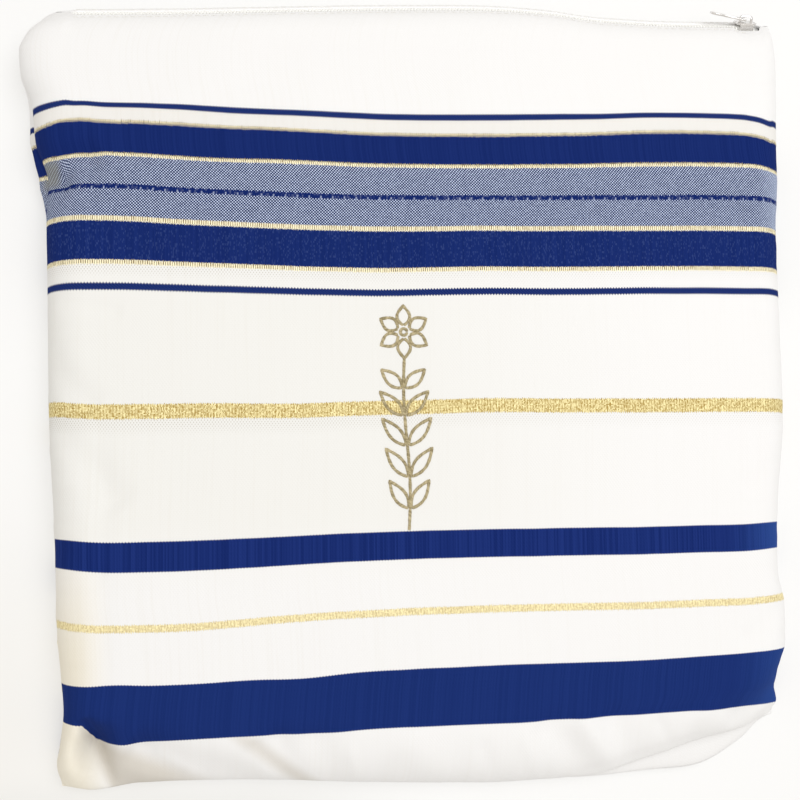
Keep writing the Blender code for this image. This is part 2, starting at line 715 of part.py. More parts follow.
def folded_shawl(look, collection):
    """One solid: a top that follows the panel over it, a flat base and layered sides."""
    base = WALL + GAP
    cells = range(STACK_CELLS + 1)
    last = STACK_CELLS
    bm = bmesh.new()
    tops, bases = {}, {}
    for j in cells:
        for i in cells:
            x, y = stack_point(i, j)
            tops[i, j] = bm.verts.new((x, y, front_height(x, y) - STACK_CLEAR))
            bases[i, j] = bm.verts.new((x, y, base))
    for j in range(last):
        for i in range(last):
            for sheet in (tops, bases):
                corners = ((i, j), (i + 1, j), (i + 1, j + 1), (i, j + 1))
                bm.faces.new([sheet[c] for c in corners])
    rim = [(i, 0) for i in range(last)] + [(last, j) for j in range(last)]
    rim += [(i, last) for i in range(last, 0, -1)] + [(0, j) for j in range(last, 0, -1)]
    centre = Vector((mix(STACK_LEFT, STACK_RIGHT, 0.5), mix(STACK_BOTTOM, STACK_TOP, 0.5), 0.0))
    bulges = (STACK_EDGE_TURN, 1.0 - STACK_EDGE_TURN)
    steps = [(layer + part) / STACK_LAYERS for layer in range(STACK_LAYERS) for part in bulges]
    creases = [layer / STACK_LAYERS for layer in range(1, STACK_LAYERS)]
    levels = sorted([(s, 1.0) for s in steps] + [(s, 0.0) for s in creases])
    rings = [[bases[key] for key in rim]]
    for share, stands_out in levels:
        ring = []
        for key in rim:
            low, high = bases[key].co, tops[key].co
            from_centre = low - centre
            outward = Vector((
                math.copysign(key[0] in (0, last), from_centre.x),
                math.copysign(key[1] in (0, last), from_centre.y),
                0.0,
            )).normalized()
            place = low.lerp(high, share) + outward * STACK_LAYER_DEPTH * stands_out
            ring.append(bm.verts.new(place))
        rings.append(ring)
    rings.append([tops[key] for key in rim])
    for ring, above in zip(rings, rings[1:]):
        for k in range(len(rim)):
            n = (k + 1) % len(rim)
            bm.faces.new((ring[k], ring[n], above[n], above[k]))
    return finish_object(bm, "folded_shawl", look, collection)


def main():
    for old in list(bpy.data.objects):
        bpy.data.objects.remove(old)
    bag = bpy.data.collections.new("tallit_bag")
    cutters = bpy.data.collections.new("tallit_bag_cutters")
    bpy.context.scene.collection.children.link(bag)
    bpy.context.scene.collection.children.link(cutters)
    front_cloth = material("front_cloth", (0.93, 0.92, 0.88), 0.85)
    back_cloth = material("back_cloth", (0.92, 0.91, 0.87), 0.85)
    tape_cloth = material("tape_cloth", (0.94, 0.94, 0.92), 0.8)
    nylon = material("nylon", (0.9, 0.9, 0.88), 0.4)
    shawl_cloth = material("shawl_cloth", (0.93, 0.93, 0.9), 0.9)
    zinc = material("zinc", (0.55, 0.55, 0.56), 0.25, 1.0)
    steel = material("steel", (0.6, 0.6, 0.61), 0.22, 1.0)
    front_panel(front_cloth, bag)
    back_panel(back_cloth, bag)
    zip_tape("zip_tape_front", -1.0, tape_cloth, bag)
    zip_tape("zip_tape_back", 1.0, tape_cloth, bag)
    zip_coil(nylon, bag)
    slider_body(zinc, bag, cutters)
    pull_tab(steel, bag, cutters)
    folded_shawl(shawl_cloth, bag)


main()
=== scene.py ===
import math

import bmesh
import bpy
import numpy as np
from mathutils import Matrix, Vector


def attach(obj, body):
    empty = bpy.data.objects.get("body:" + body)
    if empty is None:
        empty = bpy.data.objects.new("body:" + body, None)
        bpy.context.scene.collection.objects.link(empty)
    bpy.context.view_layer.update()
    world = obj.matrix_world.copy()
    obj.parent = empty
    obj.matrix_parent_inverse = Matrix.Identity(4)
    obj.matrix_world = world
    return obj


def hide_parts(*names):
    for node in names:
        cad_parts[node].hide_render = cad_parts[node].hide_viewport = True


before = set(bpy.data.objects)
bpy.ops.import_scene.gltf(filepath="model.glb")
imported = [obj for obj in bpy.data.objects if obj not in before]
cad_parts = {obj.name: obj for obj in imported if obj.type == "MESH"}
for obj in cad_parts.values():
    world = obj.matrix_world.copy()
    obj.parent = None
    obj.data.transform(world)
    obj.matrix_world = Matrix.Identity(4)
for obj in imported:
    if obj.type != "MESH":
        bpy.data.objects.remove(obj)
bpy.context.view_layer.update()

# Looks of a zipped tallit bag that lies flat, filled out by the folded shawl.
# Tables and named sizes are in millimetres, in the CAD's frame: +Y to the zip, +X to its closed
# end, +Z up, the origin under the middle of the bag.
MM = 0.001
TURN = 2 * math.pi

# ---- sizes shared with the CAD
GAP = 0.04
ROLL = 15.0
BOTTOM_ROLL = 25.0
BACK_ROLL = 8.0
BACK_BOTTOM_ROLL = 10.0
ROW_BOTTOM = -150.0
ROW_TOP = 150.0
BACK_TOP_ROWS = 10.0
BOTTOM_FADE = 34.0
TOP_FADE = 70.0
BOW_REACH = 150.0
BOW_POWER = 1.6
CROWN = 1.2
ZIP_TILT = math.radians(57.0)
ZIP_Z = 12.0
PANEL_EDGE = 4.6
PANEL_END = 0.03
PANEL_RISE = 2.0
LEFT_CLOSE = (-132.0, -136.5)
RIGHT_CLOSE = (147.4, 150.0)
LIP_FADE = 8.0
BACK_LEDGE = 3.0
SHOULDER_RUN = 1.0
SHOULDER_WIDTH = 11.0
COIL_LEFT = -133.0
SLIDER_X = 142.8
PRESS_HALF = 3.5        # the slider presses the front panel's edge down over this stretch
PRESS_FADE = 4.5
PRESS_DEPTH = 1.2

SIDES = (
    # row, left seam x, right seam x, seam z, top z, left bulge, right bulge (back panel)
    (-150, -139.5, 141, 4.5, 19.5, 0.5, 1.5),
    (-143, -141.2, 143.5, 5, 20.5, 0.5, 1.5),
    (-132, -139.8, 142.6, 6, 21.5, 0.5, 1),
    (-120, -138.6, 143.6, 7, 22.5, 0.5, 1),
    (-106, -139.4, 147, 8, 23.4, 1, 1),
    (-89, -140.7, 147.2, 8.8, 24, 1, 1),
    (-78, -141, 145, 9, 24.2, 1, 1),
    (-58, -141.4, 145.6, 9.5, 24.5, 1, 1),
    (-10, -143.6, 150.8, 9.5, 24.8, 1, 1),
    (38, -144.2, 151.4, 9.5, 24.6, 0.4, 1),
    (62, -144.6, 152, 9.5, 24.3, 0.8, 1),
    (76, -144, 153.4, 10, 24, 4.5, 1),
    (92, -148.6, 154, 10.5, 23.6, 3.5, 1),
    (109, -150, 154.8, 11, 23, 2, 1),
    (122, -154, 155.2, 12, 22.3, 1, 1),
    (132, -154.6, 155.2, 12.9, 21.8, 0.5, 0.5),
    (140, -151.5, 154.6, 13.3, 21.4, 0, 0),
    (146, -146, 154.2, 13.4, 21.2, 0, 0),
    (149, -142, 153.6, 13.4, 21, 0, 0),
    (150, -140.5, 153.2, 13.4, 21, 0, 0),
)

BOTTOM = (
    # x, seam y, rise of the seam, bulge of the back panel past it
    (-141, -149, 0, 0.5),
    (-128, -151.2, 0, 0.5),
    (-110, -149.4, 0, 0.5),
    (-70, -150.6, 0, 0.5),
    (-35, -153.4, 0, 0.5),
    (4, -156, 0, 0.5),
    (30, -157.2, 0, 0),
    (60, -156.8, 0.5, 1.5),
    (91, -149.6, 3, 7.8),
    (110, -144.2, 4, 12),
    (128, -140.8, 3.5, 6.8),
    (141, -136.4, 2.5, 1.5),
)

ZIP_LINE = (
    # x, y
    (-141, 144.9),
    (-100, 146.4),
    (-65, 148.4),
    (-5, 151.6),
    (33, 152.8),
    (56, 152),
    (80, 149.6),
    (106, 149),
    (153, 149.8),
)

BOWS = (
    # row, shift at the left, shift at the right
    (-150, 0, 0),
    (-120, -1.2, 1.2),
    (-88, -3, -1.6),
    (-63, -1.9, -1.5),
    (-10, -0.3, -0.9),
    (35, 2.4, 1.1),
    (72, 3.6, 2.2),
    (104, 2.8, 4),
    (150, 0, 0),
)

# ---- creases
CREASES = (
    # x1, y1, x2, y2, half width, height
    (-146, 79, -128, 85, 8, -3.6),
    (-131, -160, -127, -127, 5.5, -4),
    (-108, -134, -74, -149, 7, -3),
    (-82, -134, -56, -149, 6, 0.6),
    (-46, -134, -40, -152, 7, -2),
    (-10, -138, 2, -154, 8, 1.6),
    (44, -134, 62, -154, 6.5, -1.9),
    (70, -132, 80, -152, 6, -1.6),
    (57, -132, 71, -153, 5, 2),
    (108, -133, 118, -143, 7, 2.2),
    (122, -136, 141, -126, 6, -2.8),
    (-140, -14, -119, -43, 7, -1.8),
    (-142, 8, -128, -8, 6, -1.5),
    (-143, 66, -126, 71, 3, -0.9),
    (-142, 92, -124, 95, 4, 0.7),
    (-129.5, -124, -120.5, -150, 2.6, -3.4),
    (-127, -133, -119, -152, 8, -9),
    (-112, -136, -90, -150, 6, -4),
    (-138, -134, -134, -146, 5, 1.6),
    (-147, 79, -137, 77, 4.5, -5),
    (-104, -136, -88, -148, 2.2, 0.8),
    (-68, -135, -55, -150, 2.6, -1.6),
    (-60, -133, -51, -152, 5, -2.4),
    (-33, -139, -29, -152, 2.4, 0.7),
    (18, -140, 24, -156, 3, -0.7),
    (34, -138, 41, -155, 2.6, 0.6),
    (88, -134, 97, -147, 2.4, -0.9),
    (131, -140, 141, -134, 2.6, -1.6),
    (58, -154.5, 108, -142.5, 2.4, -1.3),
    (-123, -17, -122.5, -115, 4, -0.5),
    (133, 128, 134, -112, 4.5, -0.35),
    (-120, 133, 126, 136, 5, -0.35),
    (-136, 30, -118, 27, 4, -0.5),
    (-139, -62, -124, -70, 4, -0.6),
    (139, 40, 126, 34, 4, -0.4),
    (143, -34, 128, -44, 4, -0.5),
    (140, -92, 126, -104, 4.5, -0.7),
)
PUCKERS = (
    # wave length along the seam, height, phase
    (5.3, 0.10, 0.4),
    (8.9, 0.16, 2.1),
    (14.7, 0.22, 4.4),
    (27, 0.20, 1.2),
)
PUCKER_REACH = 7.0
SWELLS = (
    # wave length in x, wave length in y, height, phase
    (88, 131, 0.16, 0.7),
    (-63, 92, 0.12, 2.9),
    (47, -71, 0.08, 4.1),
    (-37, 58, 0.06, 5.3),
)
SEAM_GROOVE = 0.5
GROOVE_HEIGHT = 0.9
GROOVE_REACH = 1.5
GROOVE_END = (136.0, 144.0)     # rows where the groove fades out by the zip
STITCH_LINE = 2.5       # from the turned edge at the zip to the row of stitches
STITCH_DIP = 0.25
STITCH_DIP_WIDTH = 0.5
RIPPLE_SHARE = 0.8      # the back panel's ripples by its side seams
RIPPLE_SHIFT = 31.0
RIPPLE_RISE = 2.0

FRONT_COLUMNS = 236
FRONT_ROWS = 236
ROLL_STEPS = 14
BACK_COLUMNS = 120
BACK_FLOOR_ROWS = 60
BACK_TURN_STEPS = 14
BACK_EDGE_ROWS = 1.5
BACK_ROW_SHIFT = 6.0    # the back panel was cut this much further along the stripes

# ---- stripes and weave
STRIPES = (
    # kind, from row, to row
    ("cord", 102.5, 104.95),
    ("thin_gold", 96.2, 97.35),
    ("navy", 84.75, 96.4),
    ("thin_gold", 83.5, 84.95),
    ("mixed", 59.8, 83.6),
    ("broken", 70.45, 72.35),
    ("thin_gold", 57.9, 59.75),
    ("flecked", 43.35, 57.85),
    ("thin_gold", 41.75, 43.4),
    ("cord", 32.5, 35),
    ("wide_gold", -13.3, -7.9),
    ("navy", -68.2, -57.55),
    ("light_gold", -89.3, -86.6),
    ("navy", -131.35, -109.4),
)
PULLS = (
    # x, row, reach in x, reach in rows, shift: where wear and sewing pull the stripes off line
    (-100, 104, 55, 18, 2.6),
    (100, 104, 42, 22, 2.1),
    (150, 98, 9, 22, -2.2),
    (-147, 92, 8, 14, -2.2),
    (-115, 50, 30, 32, 1.3),
    (95, 50, 55, 34, 0.9),
    (22, 48, 26, 34, 0.75),
    (-145, -12, 14, 30, 1.8),
    (-52, -12, 20, 22, -0.65),
    (28, -12, 26, 22, 0.5),
    (-145, -75, 16, 36, 2.6),
    (-88, -96, 28, 26, -1.3),
    (85, -108, 40, 22, -1),
    (146, -80, 14, 30, 1.3),
    (-130, 104, 6, 8, 0.9),
    (-100, 91, 32, 9, -0.8),
    (-66, 40, 24, 20, 0.6),
    (-76, 90, 16, 12, -0.45),
    (-75, -63, 45, 16, -0.5),
    (75, -63, 50, 16, -0.5),
    (-50, -109, 16, 8, -1.2),
    (-118, -109, 8, 8, 0.55),
    (-117, -131, 12, 9, -1.1),
    (-138, -131, 5, 9, 1.4),
    (-80, -131, 12, 8, 0.35),
    (-42, -131, 10, 8, -0.5),
    (-18, -131, 14, 8, 0.35),
    (80, -131, 35, 8, 0.2),
    (32, -131, 14, 8, -0.4),
    (141, -125, 13, 10, 1.3),
    (-118, 104, 16, 4.5, 0.45),
    (-70, 104, 16, 4.5, -0.45),
    (100, 104, 50, 4.5, 0.45),
    (-138, 86, 5, 5, -1),
)
NOTCH_X = (-131.0, -126.6)      # a fold by the lower left corner lifts the stripes to its left
NOTCH_ROWS = (-124.5, -117.0)
NOTCH_SHIFT = 6.8
WARP_PITCH = 1.15       # a pair of warp threads
WEFT_PITCH = 0.77       # one weft thread
TOOTH_PITCH = 0.84      # the edge of a gold or corded stripe
MIX_WARP = 1.15         # the weave of the blue-grey stripe
MIX_WEFT = 1.14

ZIP_ACROSS = np.array((0.0, math.cos(ZIP_TILT), -math.sin(ZIP_TILT)))
ZIP_OUT = np.array((0.0, math.sin(ZIP_TILT), math.cos(ZIP_TILT)))


# ---- curves and surfaces
def look_up(table, at, column):
    """One column of a table at places in its first column, on a curve that doesn't overshoot."""
    keys = np.array([row[0] for row in table])
    values = np.array([row[column] for row in table])
    steps = np.diff(values) / np.diff(keys)
    slopes = np.zeros(len(keys))
    before, after = steps[:-1], steps[1:]
    same = before * after > 0.0
    slopes[1:-1][same] = 2.0 * before[same] * after[same] / (before[same] + after[same])
    at = np.clip(np.asarray(at, float), keys[0], keys[-1])
    i = np.clip(np.searchsorted(keys, at) - 1, 0, len(keys) - 2)
    span = keys[i + 1] - keys[i]
    t = (at - keys[i]) / span
    return (
        values[i] * (2 * t**3 - 3 * t**2 + 1)
        + slopes[i] * span * (t**3 - 2 * t**2 + t)
        + values[i + 1] * (3 * t**2 - 2 * t**3)
        + slopes[i + 1] * span * (t**3 - t**2)
    )


def stacked(*parts):
    return np.stack(parts, axis=-1)


def mix(a, b, t):
    return a + (b - a) * t


def fade(t):
    """1 at t = 0, falling smoothly to 0 at t = 1."""
    t = np.clip(t, 0.0, 1.0)
    return 1.0 - t * t * (3.0 - 2.0 * t)


def falling(value, start, end):
    """1 up to the start, falling smoothly to 0 at the end."""
    return fade((value - start) / (end - start))


def quarter_turn(t):
    """Height of a quarter circle that starts upright at t = 0 and is level from t = 1."""
    return np.sqrt(1.0 - (1.0 - np.clip(t, 0.0, 1.0)) ** 2)


def turn_steps(width, steps):
    """Distances from an edge that cut its quarter turn into equal angles."""
    return width * (1.0 - np.cos(np.linspace(0.0, math.pi / 2, steps + 1)))


def shoulder(d):
    """Height of the front panel over its edge at the zip: a straight strip, then an arc."""
    slope = math.tan(ZIP_TILT)
    radius = (SHOULDER_WIDTH - SHOULDER_RUN) / math.sin(ZIP_TILT)
    along = np.clip(d, SHOULDER_RUN, SHOULDER_WIDTH) - SHOULDER_RUN
    from_top = radius * math.sin(ZIP_TILT) - along
    rise = np.sqrt(radius**2 - from_top**2) - radius * math.cos(ZIP_TILT)
    return slope * np.clip(d, 0.0, SHOULDER_RUN) + rise


def zip_point(x, across, out):
    """Points by the zip: across it towards the back panel, and out from the tapes."""
    x = np.asarray(x, float)
    middle = stacked(x, look_up(ZIP_LINE, x, 1), np.full_like(x, ZIP_Z))
    across = np.asarray(across, float)[..., None]
    out = np.asarray(out, float)[..., None]
    return middle + ZIP_ACROSS * across + ZIP_OUT * out


def panel_edge(x):
    """Distance of each panel's turned edge from the zip's middle line, less at the corners."""
    closing = falling(x, *LEFT_CLOSE) * falling(x, *RIGHT_CLOSE)
    return mix(PANEL_END, PANEL_EDGE, closing)


def lip_rise(x):
    """Height of the front panel's edge over the tapes, pressed down by the slider."""
    beside = np.maximum(np.abs(x - SLIDER_X) - PRESS_HALF, 0.0)
    return PANEL_RISE - PRESS_DEPTH * fade(beside / PRESS_FADE)


def creases(x, y):
    """Height that the creases add, each fading out at its ends."""
    total = np.zeros_like(x)
    for x1, y1, x2, y2, half_width, height in CREASES:
        length = math.hypot(x2 - x1, y2 - y1)
        ux, uy = (x2 - x1) / length, (y2 - y1) / length
        along = (x - x1) * ux + (y - y1) * uy
        across = -(x - x1) * uy + (y - y1) * ux
        beyond = np.maximum(np.maximum(-along, along - length), 0.0)
        total += height * np.exp(-((across / half_width) ** 2)) * fade(beyond / half_width)
    return total


def puckers(along):
    return sum(
        height * np.sin(TURN * along / length + phase) for length, height, phase in PUCKERS
    )


def swells(x, y):
    return sum(
        height * np.sin(TURN * (x / length_x + y / length_y) + phase)
        for length_x, length_y, height, phase in SWELLS
    )


def by_bottom(row):
    """1 on the bottom seam, fading out above it."""
    return fade((row - ROW_BOTTOM) / BOTTOM_FADE)


def seam_height(row, x):
    return look_up(SIDES, row, 3) + look_up(BOTTOM, x, 2) * by_bottom(row)


def row_y(row, x):
    """Place of a cloth row at x: bent by the bows, the bottom seam and the zip."""
    side = np.clip(np.abs(x) / BOW_REACH, 0.0, 1.0) ** BOW_POWER
    bow = np.where(x < 0.0, look_up(BOWS, row, 1), look_up(BOWS, row, 2)) * side
    low = look_up(BOTTOM, x, 1) - ROW_BOTTOM
    high = zip_point(x, -panel_edge(x), lip_rise(x))[..., 1] - ROW_TOP
    return row + bow + low * by_bottom(row) + high * fade((ROW_TOP - row) / TOP_FADE)


def stripe_row(row, x):
    """Row of the woven stripes at a cloth row: off line where the cloth is pulled."""
    low = (look_up(BOTTOM, x, 1) - ROW_BOTTOM) * by_bottom(row)
    pulled = sum(
        shift * np.exp(-(((x - px) / reach_x) ** 2) - ((row - prow) / reach_row) ** 2)
        for px, prow, reach_x, reach_row, shift in PULLS
    )
    folded = falling(x, *NOTCH_X) * falling(row, *NOTCH_ROWS)
    return row + low - pulled - NOTCH_SHIFT * folded


def front_surface(share, row):
    """Outer face of the front panel with all its creases, by share of its width and cloth row."""
    left = look_up(SIDES, row, 1)
    right = look_up(SIDES, row, 2)
    x = mix(left, right, share)
    y = row_y(row, x)
    edge_z = zip_point(x, -panel_edge(x), lip_rise(x))[..., 2]
    seam_z = seam_height(row, x)
    top_z = look_up(SIDES, row, 4) + CROWN * (1.0 - (2.0 * share - 1.0) ** 2)
    to_zip = row_y(np.full_like(row, ROW_TOP), x) - y
    over_edge = (top_z - edge_z) * shoulder(to_zip) / shoulder(SHOULDER_WIDTH)
    seam_y = look_up(BOTTOM, x, 1)
    sides = quarter_turn((x - left) / ROLL) * quarter_turn((right - x) / ROLL)
    bottom = quarter_turn((y - seam_y) / BOTTOM_ROLL)
    held = quarter_turn((to_zip - SHOULDER_RUN) / ROLL)
    inside = sides * bottom
    to_side = np.minimum(x - left, right - x)
    gather = puckers(row) * np.exp(-to_side / PUCKER_REACH)
    gather += puckers(x + seam_y) * np.exp(-(y - seam_y) / PUCKER_REACH)
    crease = ((creases(x, y) + swells(x, y)) * inside + gather * np.sqrt(inside)) * held
    at_edge = mix(inside, 1.0, fade(to_zip / LIP_FADE))
    height = (edge_z - seam_z) * at_edge + over_edge * inside
    z = seam_z + height + crease
    from_stitches = (to_zip - STITCH_LINE * math.cos(ZIP_TILT)) / STITCH_DIP_WIDTH
    z = z - STITCH_DIP * np.exp(-(from_stitches**2)) * inside
    groove = SEAM_GROOVE * np.exp(-((height / GROOVE_HEIGHT) ** 2)) * falling(row, *GROOVE_END)
    x = x + groove * (fade((x - left) / GROOVE_REACH) - fade((right - x) / GROOVE_REACH))
    y = y + groove * fade((y - seam_y) / GROOVE_REACH)
    return stacked(x, y, z)


def front_place(x, y):
    """Points and unit normals of the front panel at plan places well inside its edges."""
    x, y = np.asarray(x, float), np.asarray(y, float)

    def point(px, py):
        row = py.copy()
        for _ in range(8):
            row = row + py - row_y(row, px)
        left, right = look_up(SIDES, row, 1), look_up(SIDES, row, 2)
        return front_surface((px - left) / (right - left), row)

    step = 0.2
    here = point(x, y)
    normal = np.cross(point(x + step, y) - here, point(x, y + step) - here)
    return here, normal / np.linalg.norm(normal, axis=-1, keepdims=True)


def arc_lengths(points, axis):
    """Distance along each grid line, from the middle of the line."""
    steps = np.linalg.norm(np.diff(points, axis=axis), axis=-1)
    total = np.concatenate([np.zeros_like(np.take(steps, [0], axis)), np.cumsum(steps, axis)], axis)
    return total - np.take(total, [points.shape[axis] // 2], axis)


# ---- meshes
def placed(name, data):
    """A new object in the scene."""
    made = bpy.data.objects.new(name, data)
    bpy.context.scene.collection.objects.link(made)
    return made


def link(mesh, look, body="bag"):
    """A finished piece in the scene: its mesh, material and body."""
    piece = placed(mesh.name, mesh)
    mesh.materials.append(look)
    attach(piece, body)
    return piece


def mesh_from(name, points, faces, coordinates=None):
    """Smooth mesh in metres from points in millimetres, with a coordinate kept at each point."""
    mesh = bpy.data.meshes.new(name)
    mesh.from_pydata((np.asarray(points).reshape(-1, 3) * MM).tolist(), [], faces)
    if coordinates is not None:
        kept = mesh.attributes.new("cloth", "FLOAT_VECTOR", "POINT")
        kept.data.foreach_set("vector", np.asarray(coordinates, np.float32).ravel())
    mesh.shade_smooth()
    return mesh


def grid_faces(rows, columns, flip=False, first=0):
    """Quads of a grid whose points are numbered row by row from first."""
    index = first + np.arange(rows * columns).reshape(rows, columns)
    corners = [index[:-1, :-1], index[:-1, 1:], index[1:, 1:], index[1:, :-1]]
    if flip:
        corners.reverse()
    return stacked(*corners).reshape(-1, 4).tolist()


def tubes(name, paths, normals, radii, sides):
    """Joined closed tubes, as many as there are paths; each path has as many points."""
    count, length = paths.shape[:2]
    radii = np.broadcast_to(radii, (count, length))
    ahead = np.gradient(paths, axis=1)
    ahead /= np.linalg.norm(ahead, axis=-1, keepdims=True)
    beside = np.cross(ahead, normals)
    beside /= np.linalg.norm(beside, axis=-1, keepdims=True)
    above = np.cross(beside, ahead)
    turn = np.arange(sides) * TURN / sides
    ring = beside[:, :, None] * np.cos(turn)[:, None] + above[:, :, None] * np.sin(turn)[:, None]
    points = paths[:, :, None] + ring * radii[:, :, None, None]
    one = np.arange(length * sides).reshape(length, sides)
    nxt = np.roll(one, -1, axis=1)
    faces = stacked(one[:-1], nxt[:-1], nxt[1:], one[1:]).reshape(-1, 4)
    offsets = (np.arange(count) * length * sides)[:, None, None]
    joined = (faces[None] + offsets).reshape(-1, 4).tolist()
    for first in offsets.ravel():
        joined.append([int(first + k) for k in reversed(range(sides))])
        joined.append([int(first + (length - 1) * sides + k) for k in range(sides)])
    return mesh_from(name, points, joined)


def hem(points, cloth, axis, end, steps):
    """The grid with its cloth turned under along one edge; steps are offsets from that edge."""
    grids = []
    for grid, offsets in ((points, steps), (cloth, [0.0] * len(steps))):
        edge = np.take(grid, [end], axis)
        added = [edge + offset for offset in offsets]
        grids.append(np.concatenate([*added[::-1], grid] if end == 0 else [grid, *added], axis))
    return grids


def seam_steps(inward, down):
    """Offsets of a seam allowance: a small turn, then level into the bag."""
    inward = np.asarray(inward, float)
    down = np.array((0.0, 0.0, down))
    return [inward * 0.08 + down * 0.08, inward * 0.3 + down * 0.12, inward * 2.0 + down * 0.12]


# ---- node materials
class Field:
    """A number that varies over a surface; arithmetic on it adds Math nodes."""

    def __init__(self, shader, socket):
        self.shader, self.socket = shader, socket

    def __add__(self, other):
        return self.shader.math("ADD", self, other)

    def __sub__(self, other):
        return self.shader.math("SUBTRACT", self, other)

    def __rsub__(self, other):
        return self.shader.math("SUBTRACT", other, self)

    def __mul__(self, other):
        return self.shader.math("MULTIPLY", self, other)

    __radd__, __rmul__ = __add__, __mul__

    def wave(self, pitch):
        """Sine of this length, from -1 to 1, once every pitch."""
        return self.shader.math("SINE", self * (TURN / pitch))

    def cell(self, pitch):
        return self.shader.math("FLOOR", self * (1.0 / pitch))

    def within(self, low, high, soft):
        """1 between two limits and 0 outside, each edge softened."""
        return self.above(low, soft) * self.above(high, soft, turned=True)

    def above(self, limit, soft, turned=False):
        ends = (1.0, 0.0) if turned else (0.0, 1.0)
        node = self.shader.fed("ShaderNodeMapRange", self, limit - soft, limit + soft, *ends)
        node.interpolation_type = "SMOOTHSTEP"
        return Field(self.shader, node.outputs["Result"])


class Nodes:
    """Short spellings for building the nodes of a material or of the world."""

    def __init__(self, owner):
        owner.use_nodes = True
        self.tree = owner.node_tree

    def node(self, kind):
        return self.tree.nodes.new(kind)

    def plug(self, socket, value):
        if isinstance(value, Field):
            value = value.socket
        if isinstance(value, bpy.types.NodeSocket):
            self.tree.links.new(value, socket)
        elif isinstance(value, tuple) and len(value) == 3 and socket.type == "RGBA":
            socket.default_value = (*value, 1.0)
        else:
            socket.default_value = value

    def fed(self, kind, *values):
        """A new node with values plugged into its first inputs."""
        node = self.node(kind)
        for socket, value in zip(node.inputs, values):
            self.plug(socket, value)
        return node

    def math(self, operation, *values):
        node = self.fed("ShaderNodeMath", *values)
        node.operation = operation
        return Field(self, node.outputs[0])

    def colour(self, factor, low, high):
        """Colour from low at factor 0 to high at 1."""
        node = self.node("ShaderNodeMix")
        node.data_type = "RGBA"
        self.plug(node.inputs[0], factor)
        self.plug(node.inputs[6], low)
        self.plug(node.inputs[7], high)
        return node.outputs[2]

    def vector(self, x, y, z=0.0):
        return self.fed("ShaderNodeCombineXYZ", x, y, z).outputs[0]

    def noise(self, vector, scale, detail=2.0):
        node = self.fed("ShaderNodeTexNoise", vector, 0.0, scale, detail)
        return Field(self, node.outputs["Fac"])

    def speckle(self, x, y, salt):
        """A number from 0 to 1 drawn for each pair of whole numbers."""
        node = self.fed("ShaderNodeTexWhiteNoise", self.vector(x, y, salt))
        return Field(self, node.outputs["Value"])

    def parts(self, vector):
        return [Field(self, output) for output in self.fed("ShaderNodeSeparateXYZ", vector).outputs]


class Shader(Nodes):
    """One node material around its Principled BSDF."""

    def __init__(self, name, roughness, metallic=0.0):
        self.material = bpy.data.materials.new(name)
        super().__init__(self.material)
        self.inputs = self.tree.nodes["Principled BSDF"].inputs
        self.inputs["Roughness"].default_value = roughness
        self.inputs["Metallic"].default_value = metallic

    def kept(self, name):
        """The three numbers that a mesh keeps at its points under a name."""
        node = self.node("ShaderNodeAttribute")
        node.attribute_name = name
        return self.parts(node.outputs["Vector"])

    def place(self):
        """Place in the object's own axes, in millimetres."""
        node = self.node("ShaderNodeTexCoord")
        return [value * 1000.0 for value in self.parts(node.outputs["Object"])]

    def painted(self, colour, tones, x, y):
        """The colour with tones laid over it, each where all its strips overlap."""
        for tone, patch, *strips in tones:
            for of_x, of_y, low, high, soft in strips:
                patch = patch * (x * of_x + y * of_y).within(low, high, soft)
            colour = self.colour(patch, colour, tone)
        return colour

    def glow(self, colour, strength):
        """Light that the surface gives off itself."""
        self.inputs["Emission Color"].default_value = colour
        self.inputs["Emission Strength"].default_value = strength

    def finish(self, colour, height=None, **varied):
        """Plug in the colour, what else varies and, in millimetres, the relief."""
        if height is not None:
            bump = self.node("ShaderNodeBump")
            bump.inputs["Distance"].default_value = MM
            self.plug(bump.inputs["Height"], height)
            varied["Normal"] = bump.outputs[0]
        for name, value in {"Base Color": colour, **varied}.items():
            self.plug(self.inputs[name], value)
        return self.material


def srgb(red, green, blue):
    """Linear colour from 8-bit display values."""
    return tuple(
        c / 12.92 if c <= 0.04045 else ((c + 0.055) / 1.055) ** 2.4
        for c in (red / 255, green / 255, blue / 255)
    )


WHITE = srgb(235, 235, 235)
# the next tone is a painted broad shadow on the white, not a colour of the cloth
WHITE_SHADOWED = srgb(231, 231, 228)
WHITE_DEEP = srgb(221, 218, 210)
HOLE = srgb(150, 142, 122)
NAVY = srgb(18, 37, 98)
NAVY_LIGHT = srgb(32, 53, 122)
# painted sheen on the navy
NAVY_SHEEN = srgb(47, 79, 149)
FLECK = srgb(96, 118, 172)
MIX_DARK = srgb(22, 36, 80)
MIX_LIGHT = srgb(204, 217, 243)
GOLD_DARK = srgb(160, 128, 52)
GOLD_LIGHT = srgb(252, 241, 186)
THIN_DARK = srgb(112, 88, 48)
# painted shade in the dent by the left seam
DENT_SHADE = srgb(134, 134, 122)
# painted shade of the creases at the lower left
CREASE_SHADE = srgb(196, 189, 176)
CREAM = srgb(231, 220, 188)
THIN_LIGHT = srgb(255, 247, 212)
PALE_GOLD = srgb(250, 240, 200)
INK = srgb(16, 18, 34)
ZINC = srgb(238, 236, 234)
STEEL = srgb(240, 238, 236)

FAR = 999.0
